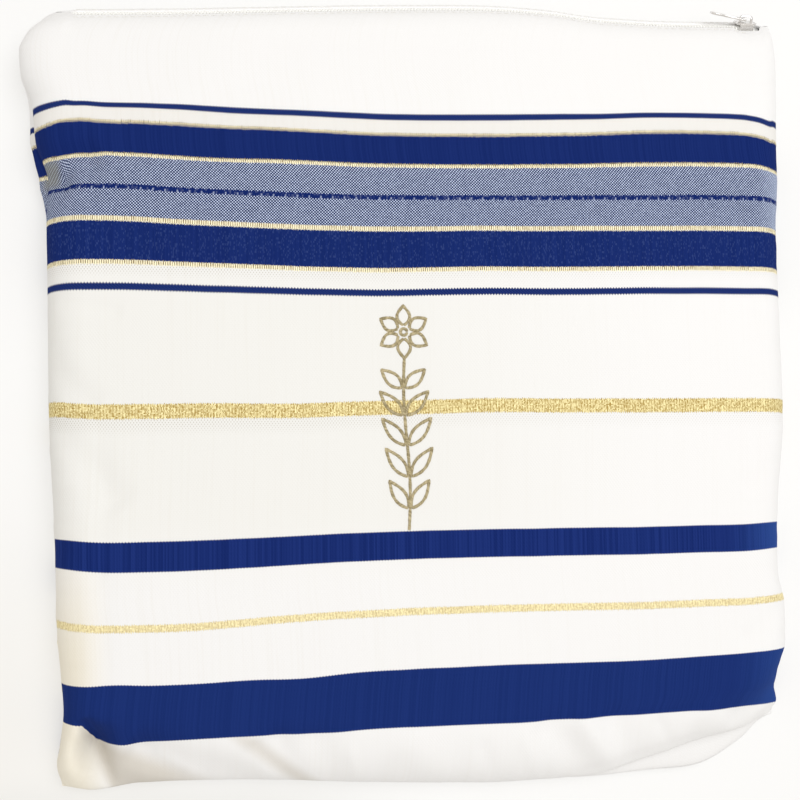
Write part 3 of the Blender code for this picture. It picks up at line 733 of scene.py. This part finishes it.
# Tones laid over a colour: the tone, its share, and the strips whose overlap it fills. A strip is
# the shares of the two coordinates in its axis, from, to, and half the width of its edges' fade.
# painted broad shadow: the white is a little greyer over the middle of the left half
BROAD_SHADOW = ((WHITE_SHADOWED, 1.0, (1, 0, -FAR, 40, 70), (0, 1, -64, 44, 16)),)      # across, row
CREAM_AND_CREASE_SHADE = (
    # x, y: a cream tone on the lower left side, and painted shade in two creases of the bottom roll
    # at the lower left
    (CREAM, 0.5, (1, 0, -FAR, -126, 8), (0, 1, -FAR, -75, 30)),
    (CREASE_SHADE, 0.7, (0.45, 1, -FAR, -187, 4), (1, 0.4, -182, FAR, 2), (1, 0, -FAR, -90, 18)),
    (CREASE_SHADE, 0.45, (1, 1.18, -232, -224, 4), (0, 1, -FAR, -131, 3)),
)
PALE_END = ((MIX_LIGHT, 0.3, (1, 0, 142, FAR, 9)),)     # across, row
# painted shade in the dent by the left seam
DENT_SHADE_TONES = ((DENT_SHADE, 0.62, (1, 0, -146, -139, 1.6), (0, 1, 76.5, 86, 2.6)),)      # x, y
TABLE_SHADOWS = (
    # x, y: painted shadow at the lower left, and painted shadow of the bag just below it there
    (srgb(154, 151, 145), 1.0, (1, 0, -300, -130, 60), (0, 1, -300, -70, 70)),
    (srgb(141, 140, 137), 0.8, (1, 0, -190, -35, 45), (0, 1, -188, -152, 10)),
)
HOLE_ROWS = (
    # small holes: upper row, half its fade, lower row, half its fade, share
    (41.75, 0.6, 39.0, 3.0, 1.0),
    (-13.5, 0.5, -17.5, 3.0, 0.8),
)
HOLES_LEFT = (-20.0, 130.0)     # they show more to the left
BITES = ((96.2, 96.7), (84.6, 84.95), (57.7, 58.0))     # rows with dark gaps between gold beads
BETWEEN = (97.5, 102.7)         # the shaded white between the top two stripes
RIBBED = (-69.0, -56.5)         # the stripe whose ribs show most
# painted sheen at the navy's right end
SHEEN = (134.0, 20.0)           # the navy's lighter right end, across
SHEEN_TOP = (-45.0, 8.0)
LOWEST = (-100.0, 6.0)          # the lowest navy stripe is a little lighter all over
STREAK = (0.34, 0.8)            # a fleck's width and height
GLINT = (0.36, 0.5)
DASH_PITCH = 4.55
DASH_TOP = 71.4
BAND_EDGE = 0.16
CLOTH_ROUGHNESS = 0.9


def striped_cloth(name):
    """Plain-woven white cloth with its woven stripes, by the rows that the mesh keeps."""
    shader = Shader(name, CLOTH_ROUGHNESS)
    shader.inputs["Specular IOR Level"].default_value = 0.04
    across, row, along = shader.kept("cloth")
    drift = shader.noise(shader.vector(across * 0.035, row * 0.01), 1.0)
    row = row + (drift - 0.5) * 0.5
    warp = across.wave(WARP_PITCH)
    fine_warp = across.wave(WARP_PITCH / 2)
    checker = warp * along.wave(2 * WEFT_PITCH)
    warp_cell = across.cell(WARP_PITCH / 2)
    each_thread = shader.speckle(warp_cell, 0.0, 3.0)
    each_cell = shader.speckle(warp_cell, row.cell(WEFT_PITCH), 7.0)
    # painted glints: random bright cells on the gold threads, with a little relief
    glint = shader.speckle(across.cell(GLINT[0]), row.cell(GLINT[1]), 5.0)
    tooth = across.wave(TOOTH_PITCH)
    each_tooth = shader.speckle(across.cell(TOOTH_PITCH / 2), 0.0, 9.0)
    slub = shader.noise(shader.vector(across * 0.9, row * 0.015), 1.0, 4.0)
    x, y, _ = shader.place()

    toothed = row + tooth * 0.22 + (each_tooth - 0.5) * 0.3
    edges = {
        "cord": row + warp * 0.24, "navy": row + warp * 0.15, "flecked": row + warp * 0.15,
        "mixed": row, "broken": row + tooth * 0.2 + (each_tooth - 0.5) * 0.3,
        "thin_gold": toothed, "wide_gold": toothed, "light_gold": toothed,
    }
    bands = dict.fromkeys(edges, 0.0)
    for kind, low, high in STRIPES:
        band = edges[kind].within(low, high, BAND_EDGE)
        bands[kind] = shader.math("MAXIMUM", bands[kind], band)

    holes_zone = 0.0
    for top, top_soft, bottom, bottom_soft, share in HOLE_ROWS:
        zone = row.above(top, top_soft, turned=True) * row.above(bottom, bottom_soft) * share
        holes_zone = zone + holes_zone
    left_side = across.above(*HOLES_LEFT, turned=True)
    holes = checker.above(0.45, 0.3) * (holes_zone * (left_side * 0.5 + 0.5) + 0.06)
    deep = slub.above(0.6, 0.14) * (left_side * 0.1 + 0.06) + row.within(*BETWEEN, 0.4) * 0.45
    # painted broad shadow over the middle of the left half
    white = shader.painted(WHITE, BROAD_SHADOW, across, row)
    white = shader.colour(deep, white, WHITE_DEEP)
    white = shader.colour(holes * 0.55, white, HOLE)
    # a cream tone on the lower left side, and painted crease shade on the bottom roll at the lower
    # left
    white = shader.painted(white, CREAM_AND_CREASE_SHADE, x, y)

    ribbed = row.within(*RIBBED, 0.5)
    ribs = each_thread * (ribbed * 0.35 + 0.28) + fine_warp * (ribbed * 0.1 + 0.04)
    navy = shader.colour(ribs, NAVY, NAVY_LIGHT)
    # painted sheen at the navy's right end; the lowest stripe's own lighter tone is mixed in with
    # it
    sheen = across.above(*SHEEN) * row.above(*SHEEN_TOP, turned=True)
    lowest = row.above(*LOWEST, turned=True)
    sheen = sheen * (1.0 - lowest * 0.4) + lowest * 0.1
    navy = shader.colour(sheen, navy, NAVY_SHEEN)
    streak = shader.speckle(across.cell(STREAK[0]), row.cell(STREAK[1]), 11.0)
    flecked = shader.colour(streak.above(0.86, 0.1) * 0.15, navy, FLECK)
    rope = (row + across * 0.8).wave(1.0).above(0.2, 0.8)
    cord = shader.colour(rope * 0.12, NAVY, FLECK)

    dots = across.wave(MIX_WARP) * along.wave(MIX_WEFT)
    pale = (dots + each_cell * 0.2 - 0.1).above(0.2, 0.14)
    mixed = shader.colour(pale, MIX_DARK, MIX_LIGHT)
    mixed = shader.painted(mixed, PALE_END, across, row)
    # painted shade in the dent by the left seam
    mixed = shader.painted(mixed, DENT_SHADE_TONES, x, y)
    dashes = across.wave(DASH_PITCH).above(0.93, 0.06) * row.above(DASH_TOP, 0.15, turned=True)
    broken = shader.colour(dashes * 0.45 + each_cell.above(0.85, 0.1) * 0.1, NAVY, MIX_LIGHT)

    gold = shader.colour(glint * 0.8 + warp * 0.14 + 0.12, GOLD_DARK, GOLD_LIGHT)
    light_gold = shader.colour(0.4, gold, PALE_GOLD)
    beads = tooth * 0.45 + (each_tooth - 0.5) * 0.35 + glint * 0.3
    thin = shader.colour(beads + 0.5, THIN_DARK, THIN_LIGHT)

    bites = sum(row.within(low, high, 0.15) for low, high in BITES)
    bites = bites * (tooth + each_tooth - 0.5).above(0.3, 0.4)

    colour = white
    looks = {
        "mixed": mixed, "broken": broken, "navy": navy, "flecked": flecked, "cord": cord,
        "thin_gold": thin, "wide_gold": gold, "light_gold": light_gold,
    }
    for kind, paint in looks.items():
        colour = shader.colour(bands[kind], colour, paint)
    colour = shader.colour(bites * 0.85, colour, INK)
    metal = bands["thin_gold"] + bands["wide_gold"] + bands["light_gold"]

    plain_relief = checker * 0.014 + slub * 0.008
    rib_relief = (bands["navy"] + bands["flecked"]) * warp * 0.02
    cord_relief = bands["cord"] * (rope * 0.06 + 0.12)
    gold_relief = metal * (glint * 0.06 + 0.05)
    height = plain_relief + rib_relief + cord_relief + gold_relief
    roughness = CLOTH_ROUGHNESS - metal * 0.3
    return shader.finish(colour, height, Roughness=roughness, Metallic=metal * 0.12)


TAPE_GLOW = 0.22        # painted light: the tape glows a little, which lightens its shade beside the coil


def tape_cloth():
    """Woven polyester tape: a fine herringbone."""
    shader = Shader("tape_cloth", 0.7)
    x, y, z = shader.place()
    slant = (z + y).wave(3.2) * 0.6
    ribs = (x + slant).wave(0.7)
    colour = shader.colour(ribs * 0.5 + 0.5, srgb(232, 231, 226), srgb(247, 247, 244))
    # painted light: a faint glow on the tape
    shader.glow((1.0, 0.99, 0.97, 1.0), TAPE_GLOW)
    return shader.finish(colour, ribs * 0.03)


def nylon():
    """Coil filament: satin white with faint drawing lines."""
    shader = Shader("nylon", 0.35)
    x, y, z = shader.place()
    lines = shader.noise(shader.vector(x * 0.5, y * 6.0, z * 6.0), 1.0)
    colour = shader.colour(lines, srgb(240, 240, 236), srgb(250, 250, 248))
    return shader.finish(colour, lines * 0.02)


def sewing_thread():
    shader = Shader("sewing_thread", 0.6)
    x, y, z = shader.place()
    twist = (x + y * 0.7 + z * 0.7).wave(0.35)
    colour = shader.colour(twist * 0.5 + 0.5, srgb(226, 225, 219), srgb(238, 237, 232))
    return shader.finish(colour, twist * 0.03)


def plated(name, tone):
    """Bright plated metal with faint scratches and duller patches."""
    shader = Shader(name, 0.22, 1.0)
    x, y, z = shader.place()
    patches = shader.noise(shader.vector(x, y, z), 0.6, 3.0)
    scratches = shader.noise(shader.vector(x * 0.6, y * 7.0, z * 7.0), 1.0, 3.0)
    dark = tuple(c * 0.8 for c in tone)
    colour = shader.colour(patches, dark, tone)
    return shader.finish(colour, scratches * 0.012, Roughness=patches * 0.25 + 0.12)


def gold_thread():
    """Metallised embroidery thread: slanted strands, glinting one by one."""
    shader = Shader("gold_thread", 0.4, 0.45)
    along, around, stroke = shader.kept("cloth")
    strand = (along + around * 0.35).wave(0.42)
    each = shader.speckle((along + around * 0.35).cell(0.42), stroke, 1.0)
    patches = shader.noise(shader.vector(along * 0.3, around, stroke), 1.0)
    # painted glints: each strand a random brighter or darker tone
    tone = each * 0.65 + strand * 0.18 + patches * 0.25
    colour = shader.colour(tone, srgb(140, 126, 88), srgb(232, 218, 178))
    return shader.finish(colour, strand * 0.05, Roughness=each * 0.3 + 0.28)


TABLE_GLOW = 0.53       # the table is lit from below, which keeps its shadows pale


def table_top():
    shader = Shader("table_top", 0.6)
    x, y, _ = shader.place()
    mottle = shader.noise(shader.vector(x * 0.01, y * 0.01), 1.0)
    shader.glow((1.0, 0.995, 0.975, 1.0), TABLE_GLOW)
    tone = shader.colour(mottle, srgb(162, 162, 162), srgb(165, 165, 165))
    # painted shadows on the table at the lower left
    return shader.finish(shader.painted(tone, TABLE_SHADOWS, x, y))


# ---- pieces
def panel_shares(roll_width, columns):
    """Places across a panel as shares of its width, closer together on its side rolls."""
    width = look_up(SIDES, 0.0, 2) - look_up(SIDES, 0.0, 1)
    roll = turn_steps(roll_width, ROLL_STEPS) / width
    inner = np.linspace(roll[-1], 1.0 - roll[-1], columns + 1)[1:-1]
    return np.concatenate([roll, inner, 1.0 - roll[::-1]])


def sewn_panel(name, points, stripe, down, under, look):
    """A panel's piece from its outer face, turned under at all its edges."""
    cloth = stacked(arc_lengths(points, 1), stripe, arc_lengths(points, 0))
    for axis, end, inward in ((1, 0, (1, 0, 0)), (1, -1, (-1, 0, 0)), (0, 0, (0, 1, 0))):
        points, cloth = hem(points, cloth, axis, end, seam_steps(inward, down))
    points, cloth = hem(points, cloth, 0, -1, under)
    faces = grid_faces(*points.shape[:2], flip=down > 0)
    return link(mesh_from(name, points, faces, cloth), look)


def front_cloth(look):
    """Front panel: a fine shell on the CAD panel's form."""
    low = ROW_BOTTOM + turn_steps(BOTTOM_ROLL, ROLL_STEPS + 4)
    high = ROW_TOP - np.concatenate([np.linspace(SHOULDER_WIDTH, 0.5, 22), [0.25, 0.0]])
    rows = np.concatenate([low, np.linspace(low[-1], high[0], FRONT_ROWS + 1)[1:-1], high])
    row, share = np.meshgrid(rows, panel_shares(ROLL, FRONT_COLUMNS), indexing="ij")
    points = front_surface(share, row)
    stripe = stripe_row(row, points[..., 0])
    under = [0.1 * ZIP_ACROSS - 0.3 * ZIP_OUT, -0.9 * ZIP_OUT,
             -1.2 * ZIP_OUT - 0.5 * ZIP_ACROSS, -1.2 * ZIP_OUT - 1.2 * ZIP_ACROSS]
    piece = sewn_panel("front_cloth", points, stripe, -1, under, look)
    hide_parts("front_panel")


def back_surface(share, kind, row, value):
    """One line of the back panel's outer face: seams all round, flat on the table between."""
    left, right = look_up(SIDES, row, 1), look_up(SIDES, row, 2)
    x = mix(left, right, share)
    top = row_y(np.full_like(x, ROW_TOP), x)
    seam_y = row_y(np.full_like(x, row), x)
    lip = zip_point(x, panel_edge(x), PANEL_RISE)
    near_zip = fade((top - seam_y) / LIP_FADE)
    seam_z = mix(seam_height(row, x) - GAP, lip[:, 2], near_zip)
    seam_y = seam_y + (lip[:, 1] - top) * near_zip
    inner_y, inner_z = seam_y, np.zeros_like(x)
    if kind == "low":
        turned = quarter_turn(value / BACK_BOTTOM_ROLL)
        inner_z = seam_z * (1.0 - turned)
        inner_y = seam_y - look_up(BOTTOM, x, 3) * np.sin(math.pi * turned)
    if kind == "turn":
        start = lip + ZIP_ACROSS * BACK_LEDGE
        reach = start[:, 2] / (math.cos(ZIP_TILT) + 1.0)
        inner_y = start[:, 1] + reach * (math.sin(value) - math.sin(ZIP_TILT))
        inner_z = reach * (math.cos(value) + 1.0)
    if kind == "edge":
        inner_y, inner_z = lip[:, 1], lip[:, 2]
    from_left = quarter_turn((x - left) / BACK_ROLL)
    from_right = quarter_turn((right - x) / BACK_ROLL)
    sides = from_left * from_right
    x = x - look_up(SIDES, row, 5) * np.sin(math.pi * from_left)
    x = x + look_up(SIDES, row, 6) * np.sin(math.pi * from_right)
    y, z = mix(seam_y, inner_y, sides), mix(seam_z, inner_z, sides)
    above = np.clip(z / RIPPLE_RISE, 0.0, 1.0)
    ripple = RIPPLE_SHARE * puckers(row + RIPPLE_SHIFT) * np.sin(math.pi * (1.0 - sides)) * above
    x = x - ripple * fade((x - left) / ROLL) + ripple * fade((right - x) / ROLL)
    return stacked(x, y, np.maximum(z, 0.0))


def back_cloth(look):
    """Back panel: turned up to the seams, with the same stripes a little further down."""
    shares = panel_shares(BACK_ROLL, BACK_COLUMNS)
    floor_top = ROW_TOP - BACK_TOP_ROWS
    lines = [("low", ROW_BOTTOM + d, d) for d in turn_steps(BACK_BOTTOM_ROLL, ROLL_STEPS)]
    floor = np.linspace(lines[-1][1], floor_top, BACK_FLOOR_ROWS + 1)[1:-1]
    lines += [("floor", row, 0.0) for row in floor]
    turns = np.linspace(math.pi, ZIP_TILT, BACK_TURN_STEPS)
    turn_rows = np.linspace(floor_top, ROW_TOP - BACK_EDGE_ROWS, BACK_TURN_STEPS)
    lines += [("turn", row, turn) for row, turn in zip(turn_rows, turns)]
    lines.append(("edge", ROW_TOP, 0.0))
    points = np.stack([back_surface(shares, *line) for line in lines])
    row = np.repeat(np.array([line[1] for line in lines])[:, None], len(shares), axis=1)
    under = [-0.1 * ZIP_ACROSS - 0.3 * ZIP_OUT, -0.9 * ZIP_OUT,
             -1.2 * ZIP_OUT + 0.5 * ZIP_ACROSS]
    piece = sewn_panel("back_cloth", points, row + BACK_ROW_SHIFT, 1, under, look)
    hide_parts("back_panel")


# The folded shawl: one long sheet laid to and fro
STACK_LEFT = -122.0
STACK_RIGHT = 132.0
STACK_BOTTOM = -127.0
STACK_TOP = 136.0
STACK_BASE = 1.9
STACK_CLEAR = 3.2
STACK_LAYERS = 7
STACK_BEND = 1.3         # how far a fold's bend stands out past its lays
STACK_INSET = 2.0
STACK_WAVE = 0.12
STACK_SHIFT = 1.1        # how far the lays are out of line
STACK_LONG_CELLS = 36
STACK_CELLS = 30
STACK_BEND_STEPS = 6
PLAIN_ROW = 10.0         # a row of the cloth that has no stripe


def folded_layers(look):
    """The shawl as one sheet, doubled along its length, folded to and fro in equal lays."""
    along = np.linspace(STACK_BOTTOM, STACK_TOP, STACK_CELLS + 1)
    lines = []
    for layer in range(STACK_LAYERS):
        ways = np.linspace(STACK_LEFT, STACK_RIGHT, STACK_LONG_CELLS + 1)
        if layer % 2:
            ways = ways[::-1]
        lines += [(x, float(layer)) for x in ways]
        if layer < STACK_LAYERS - 1:
            end, out = ways[-1], 1.0 if layer % 2 == 0 else -1.0
            for k in range(1, STACK_BEND_STEPS):
                turn = math.pi * k / STACK_BEND_STEPS
                bend_x = end + out * math.sin(turn) * STACK_BEND
                lines.append((bend_x, layer + (1 - math.cos(turn)) / 2))
    x, level = (np.array(column)[:, None] for column in zip(*lines))
    x, level, along = np.broadcast_arrays(x, level, along)
    place = np.clip(x, STACK_LEFT + STACK_INSET, STACK_RIGHT - STACK_INSET)
    top = front_place(place, along)[0][..., 2] - STACK_CLEAR
    share = level / (STACK_LAYERS - 1)
    z = mix(STACK_BASE, top, share) + STACK_WAVE * np.sin(along / 17.0 + level * 2.1) * share
    y = along + STACK_SHIFT * np.sin(level * 2.3 + 0.5)
    points = stacked(x, y, z)
    lengthwise = arc_lengths(points, 0)
    plain = np.full_like(lengthwise, PLAIN_ROW)
    cloth = stacked(arc_lengths(points, 1), plain, lengthwise)
    mesh = mesh_from("folded_shawl_layers", points, grid_faces(*points.shape[:2]), cloth)
    piece = link(mesh, look)
    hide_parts("folded_shawl")


COIL_PITCH = 1.3
COIL_TUCK = 2.0         # the coil's length that is hidden where the panels meet
COIL_WIRE = 0.46
COIL_PAST_SLIDER = 1.1   # where the coil ends by the slider's post
COIL_CORE = 0.62         # the cord that fills the coils
COIL_CORE_OUT = 1.0


def coil_teeth(look):
    """Two interlocked coils: a bent loop for each turn, alternating from side to side."""
    section = (
        # across, out, share of the wire's thickness
        (-2.35, 0.85, 0.8),
        (-2.1, 1.25, 1.0),
        (-1.3, 1.5, 1.0),
        (-0.2, 1.55, 1.0),
        (0.55, 1.4, 1.15),
        (0.75, 1.05, 0.8),
    )
    last = SLIDER_X + COIL_PAST_SLIDER
    first = COIL_LEFT - COIL_TUCK
    count = int((last - first) / (COIL_PITCH / 2))
    places = first + COIL_PITCH / 2 * (np.arange(count) + 0.5)
    side = np.where(np.arange(count) % 2, 1.0, -1.0)
    paths = np.stack([
        zip_point(places + side * (0.12 * across), -side * across, out)
        for across, out, _ in section
    ], axis=1)
    radii = [COIL_WIRE * share for _, _, share in section]
    piece = link(tubes("zip_coil_teeth", paths, (1.0, 0.0, 0.0), radii, 6), look)
    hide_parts("zip_coil")
    core_x = np.arange(first - 1.0, last, 2.0)
    core = zip_point(core_x, 0.0, COIL_CORE_OUT)[None]
    link(tubes("zip_coil_cord", core, ZIP_OUT, COIL_CORE, 10), look)


TAPE_NEAR = 2.2          # the tape beside the coil, from the zip's middle line to under the panel
TAPE_FAR = 5.4
TAPE_OUT = 1.5
TAPE_SAG = 0.25
TAPE_RIGHT = 136.0
TAPE_STEP = 1.5
TAPE_ROWS = 6


def tape_ledge(name, side, look):
    """The woven tape that shows between the coil and one panel's edge."""
    places = np.arange(COIL_LEFT - COIL_TUCK, TAPE_RIGHT, TAPE_STEP)
    x, across = np.meshgrid(places, np.linspace(TAPE_NEAR, TAPE_FAR, TAPE_ROWS))
    sag = TAPE_SAG * (across - TAPE_NEAR) / (TAPE_FAR - TAPE_NEAR)
    points = zip_point(x, side * across, TAPE_OUT - sag)
    link(mesh_from(name, points, grid_faces(*x.shape, flip=side < 0.0)), look)


STITCH_LENGTH = 2.5
STITCH_PITCH = 3.1
STITCH_RADIUS = 0.17
STITCHES_LEFT = COIL_LEFT - 1.0
STITCHES_RIGHT = (143.0, 149.5)     # where the front and the back row end
BACK_STITCH_LINE = 2.0


def stitch_row(name, end, place, look):
    """A row of lock stitches; place(x) gives points and normals along it."""
    firsts = np.arange(STITCHES_LEFT, end - STITCH_LENGTH, STITCH_PITCH)
    shares = np.array((0.0, 0.15, 0.5, 0.85, 1.0))
    lifts = np.array((-0.25, 0.02, 0.07, 0.02, -0.25))
    x = firsts[:, None] + STITCH_LENGTH * shares
    points, normals = place(x)
    points = points + normals * lifts[:, None]
    radii = STITCH_RADIUS * np.array((0.6, 1.0, 1.0, 1.0, 0.6))
    link(tubes(name, points, normals, radii, 6), look)


def front_stitch_place(x):
    edge = zip_point(x, -PANEL_EDGE, lip_rise(x))
    y = edge[..., 1] - STITCH_LINE * math.cos(ZIP_TILT)
    points, normals = front_place(x.ravel(), y.ravel())
    return points.reshape(*x.shape, 3), normals.reshape(*x.shape, 3)


def back_stitch_place(x):
    return zip_point(x, PANEL_EDGE + BACK_STITCH_LINE, PANEL_RISE), ZIP_OUT


# Ornament: a leafy branch with a flower, in laid gold thread
BRANCH_X = -9.0
BRANCH_BOTTOM = -57.5
BRANCH_TOP = 9.0
BRANCH_SWAY = 0.8
FLOWER_Y = 18.6
PETALS = 6
PETAL_FROM = 2.6
PETAL_TO = 10.2
PETAL_HALF = 2.5
LEAF_HALF = 2.3
LEAVES = (
    # y where the pair leaves the stem, length, degrees from the stem
    (-49, 12.5, 34),
    (-37, 13.5, 38),
    (-25, 13.5, 41),
    (-13.5, 12.5, 44),
    (-3, 10.5, 48),
)
THREAD_HALF = 0.62
THREAD_RISE = 0.5
THREAD_STEP = 0.22
THREAD_TURN = 0.42
THREAD_SLANT = 0.35
THREAD_SINK = 0.08
EYE_RADIUS = 1.3


def stem_x(y):
    return BRANCH_X + BRANCH_SWAY * math.sin((y - BRANCH_BOTTOM) / 11.0)


def leaf(x, y, length, angle, half):
    """Closed outline of a pointed leaf that grows from a place at an angle from +Y."""
    t = np.linspace(0.0, 1.0, 25)
    bulge = half * np.sin(math.pi * t**0.85)
    along = np.concatenate([t, t[::-1]]) * length
    beside = np.concatenate([bulge, -bulge[::-1]])
    c, s = math.cos(angle), math.sin(angle)
    return stacked(x + along * s + beside * c, y + along * c - beside * s)


def ornament_strokes():
    heights = np.linspace(BRANCH_BOTTOM, BRANCH_TOP, 40)
    strokes = [np.array([(stem_x(y), y) for y in heights])]
    for y, length, degrees in LEAVES:
        for side in (-1.0, 1.0):
            angle = side * math.radians(degrees)
            strokes.append(leaf(stem_x(y) + side * 0.6, y, length, angle, LEAF_HALF))
    centre_x = stem_x(BRANCH_TOP)
    for k in range(PETALS):
        angle = TURN * k / PETALS
        x, y = centre_x + PETAL_FROM * math.sin(angle), FLOWER_Y + PETAL_FROM * math.cos(angle)
        strokes.append(leaf(x, y, PETAL_TO - PETAL_FROM, angle, PETAL_HALF))
    turn = np.linspace(0.0, TURN, 33)
    eye = stacked(centre_x + EYE_RADIUS * np.cos(turn), FLOWER_Y + EYE_RADIUS * np.sin(turn))
    return strokes + [eye]


def resampled(stroke):
    lengths = np.concatenate([[0.0], np.cumsum(np.linalg.norm(np.diff(stroke, axis=0), axis=1))])
    along = np.linspace(0.0, lengths[-1], max(int(lengths[-1] / THREAD_STEP), 4))
    places = [np.interp(along, lengths, stroke[:, k]) for k in (0, 1)]
    return along, stacked(*places)


def ornament(look):
    """Raised strokes of satin stitch, each turn of thread a small ridge."""
    points, coordinates, faces, first = [], [], [], 0
    arch = np.linspace(0.0, math.pi, 7)
    for number, stroke in enumerate(ornament_strokes()):
        along, places = resampled(stroke)
        here, normal = front_place(places[:, 0], places[:, 1])
        ahead = np.gradient(here, axis=0)
        ahead /= np.linalg.norm(ahead, axis=-1, keepdims=True)
        beside = np.cross(ahead, normal)
        ends = quarter_turn(np.minimum(along, along[-1] - along) / 0.5)
        around = np.cos(arch)[None]
        turns = (along[:, None] + THREAD_SLANT * around) / THREAD_TURN
        ridge = 1.0 + 0.16 * np.sin(TURN * turns)
        uneven = 1.0 + 0.12 * np.sin(along * 1.7 + number) * np.sin(along * 0.61 + 2.0 * number)
        reach = (THREAD_HALF * ends * uneven)[:, None] * around * ridge
        rise = (THREAD_RISE * ends)[:, None] * np.sin(arch)[None] * ridge - THREAD_SINK
        thread = beside[:, None] * reach[..., None] + normal[:, None] * rise[..., None]
        points.append((here[:, None] + thread).reshape(-1, 3))
        kept = [np.repeat(along[:, None], len(arch), 1), np.repeat(around, len(along), 0)]
        kept.append(np.full_like(kept[0], number))
        coordinates.append(stacked(*kept).reshape(-1, 3))
        faces += grid_faces(len(along), len(arch), flip=True, first=first)
        first += len(along) * len(arch)
    points, coordinates = np.concatenate(points), np.concatenate(coordinates)
    link(mesh_from("gold_ornament", points, faces, coordinates), look)


SLIDER_BEVEL = 0.18
TAB_BEVEL = 0.14
BEVEL_FROM = math.radians(30.0)
FACET = math.radians(3.0)


def refined(node, name, bevel, look, body):
    """A CAD node's form with its facets merged and its edges rounded, in place of the node."""
    bm = bmesh.new()
    bm.from_mesh(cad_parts[node].data)
    bmesh.ops.remove_doubles(bm, verts=bm.verts, dist=0.00001)
    bmesh.ops.dissolve_limit(bm, angle_limit=FACET, verts=bm.verts, edges=bm.edges)
    mesh = bpy.data.meshes.new(name)
    bm.to_mesh(mesh)
    bm.free()
    mesh.shade_smooth()
    piece = link(mesh, look, body)
    rounded = piece.modifiers.new("rounded", "BEVEL")
    rounded.width = bevel * MM
    rounded.segments = 2
    rounded.limit_method = "ANGLE"
    rounded.angle_limit = BEVEL_FROM
    rounded.harden_normals = True
    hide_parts(node)


# ---- table, light and camera
def stage_floor(look):
    bpy.ops.mesh.primitive_plane_add(size=8.0, location=(0.0, 0.0, -0.0002))
    floor = bpy.context.object
    floor.name = "table_top"
    floor.data.materials.append(look)


ROOM_LOW = 0.63
ROOM_HIGH = 0.82
ROOM_HIGH_FROM = 0.9
ROOM_SLOPE = (-0.05, -0.06)
ROOM_COLOUR = (1.0, 0.962, 0.91, 1.0)
KEY_SIZE = 1.0
KEY_POWER = 9.3
KEY_COLOUR = (0.985, 1.0, 1.03)
KEY_PLACE = (0.33, 0.24, 1.3)


def lights():
    """A warm room, dimmer at the horizon, brighter to the lower left, and a cool lamp."""
    world = bpy.data.worlds.new("pale_room")
    bpy.context.scene.world = world
    room = Nodes(world)
    x, y, z = room.parts(room.node("ShaderNodeTexCoord").outputs["Generated"])
    level = room.math("MINIMUM", room.math("MAXIMUM", z * (1.0 / ROOM_HIGH_FROM), 0.0), 1.0)
    slope = x * ROOM_SLOPE[0] + y * ROOM_SLOPE[1]
    background = room.tree.nodes["Background"]
    background.inputs["Color"].default_value = ROOM_COLOUR
    room.plug(background.inputs["Strength"], level * (ROOM_HIGH - ROOM_LOW) + ROOM_LOW + slope)
    lamp = bpy.data.lights.new("key", "AREA")
    lamp.size = KEY_SIZE
    lamp.energy = KEY_POWER
    lamp.color = KEY_COLOUR
    key = placed("key", lamp)
    key.location = KEY_PLACE
    key.rotation_euler = (-Vector(KEY_PLACE)).to_track_quat("-Z", "Y").to_euler()


CAMERA_PLACE = (-0.078889, -0.0476212, 0.4710988)
CAMERA_AHEAD = (0.14953534, 0.08837276, -0.98479919)
CAMERA_UP = (0.01192785, 0.9957641, 0.09116788)
CAMERA_LENS = 53.118
CAMERA_SENSOR = 36.0


def camera():
    data = bpy.data.cameras.new("camera")
    data.lens = CAMERA_LENS
    data.sensor_width = CAMERA_SENSOR
    data.clip_start = 0.01
    view = placed("camera", data)
    ahead, up = Vector(CAMERA_AHEAD).normalized(), Vector(CAMERA_UP)
    right = ahead.cross(up).normalized()
    up = right.cross(ahead)
    turn = Matrix((right, up, -ahead)).transposed().to_4x4()
    view.matrix_world = Matrix.Translation(CAMERA_PLACE) @ turn
    bpy.context.scene.camera = view


def main():
    bpy.context.scene.view_settings.view_transform = "Standard"
    cloth = striped_cloth("striped_cloth")
    tape, thread = tape_cloth(), sewing_thread()
    folded_layers(striped_cloth("shawl_cloth"))
    back_cloth(cloth)
    front_cloth(cloth)
    for node in ("zip_tape_front", "zip_tape_back"):
        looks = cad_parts[node].data.materials
        looks.clear()
        looks.append(tape)
    coil_teeth(nylon())
    tape_ledge("zip_tape_ledge_front", -1.0, tape)
    tape_ledge("zip_tape_ledge_back", 1.0, tape)
    stitch_row("zip_stitches_front", STITCHES_RIGHT[0], front_stitch_place, thread)
    stitch_row("zip_stitches_back", STITCHES_RIGHT[1], back_stitch_place, thread)
    zinc, steel = plated("zinc", ZINC), plated("steel", STEEL)
    refined("slider_body", "slider_metal", SLIDER_BEVEL, zinc, "bag")
    refined("pull_tab", "pull_tab_metal", TAB_BEVEL, steel, "tab")
    ornament(gold_thread())
    stage_floor(table_top())
    lights()
    camera()


main()
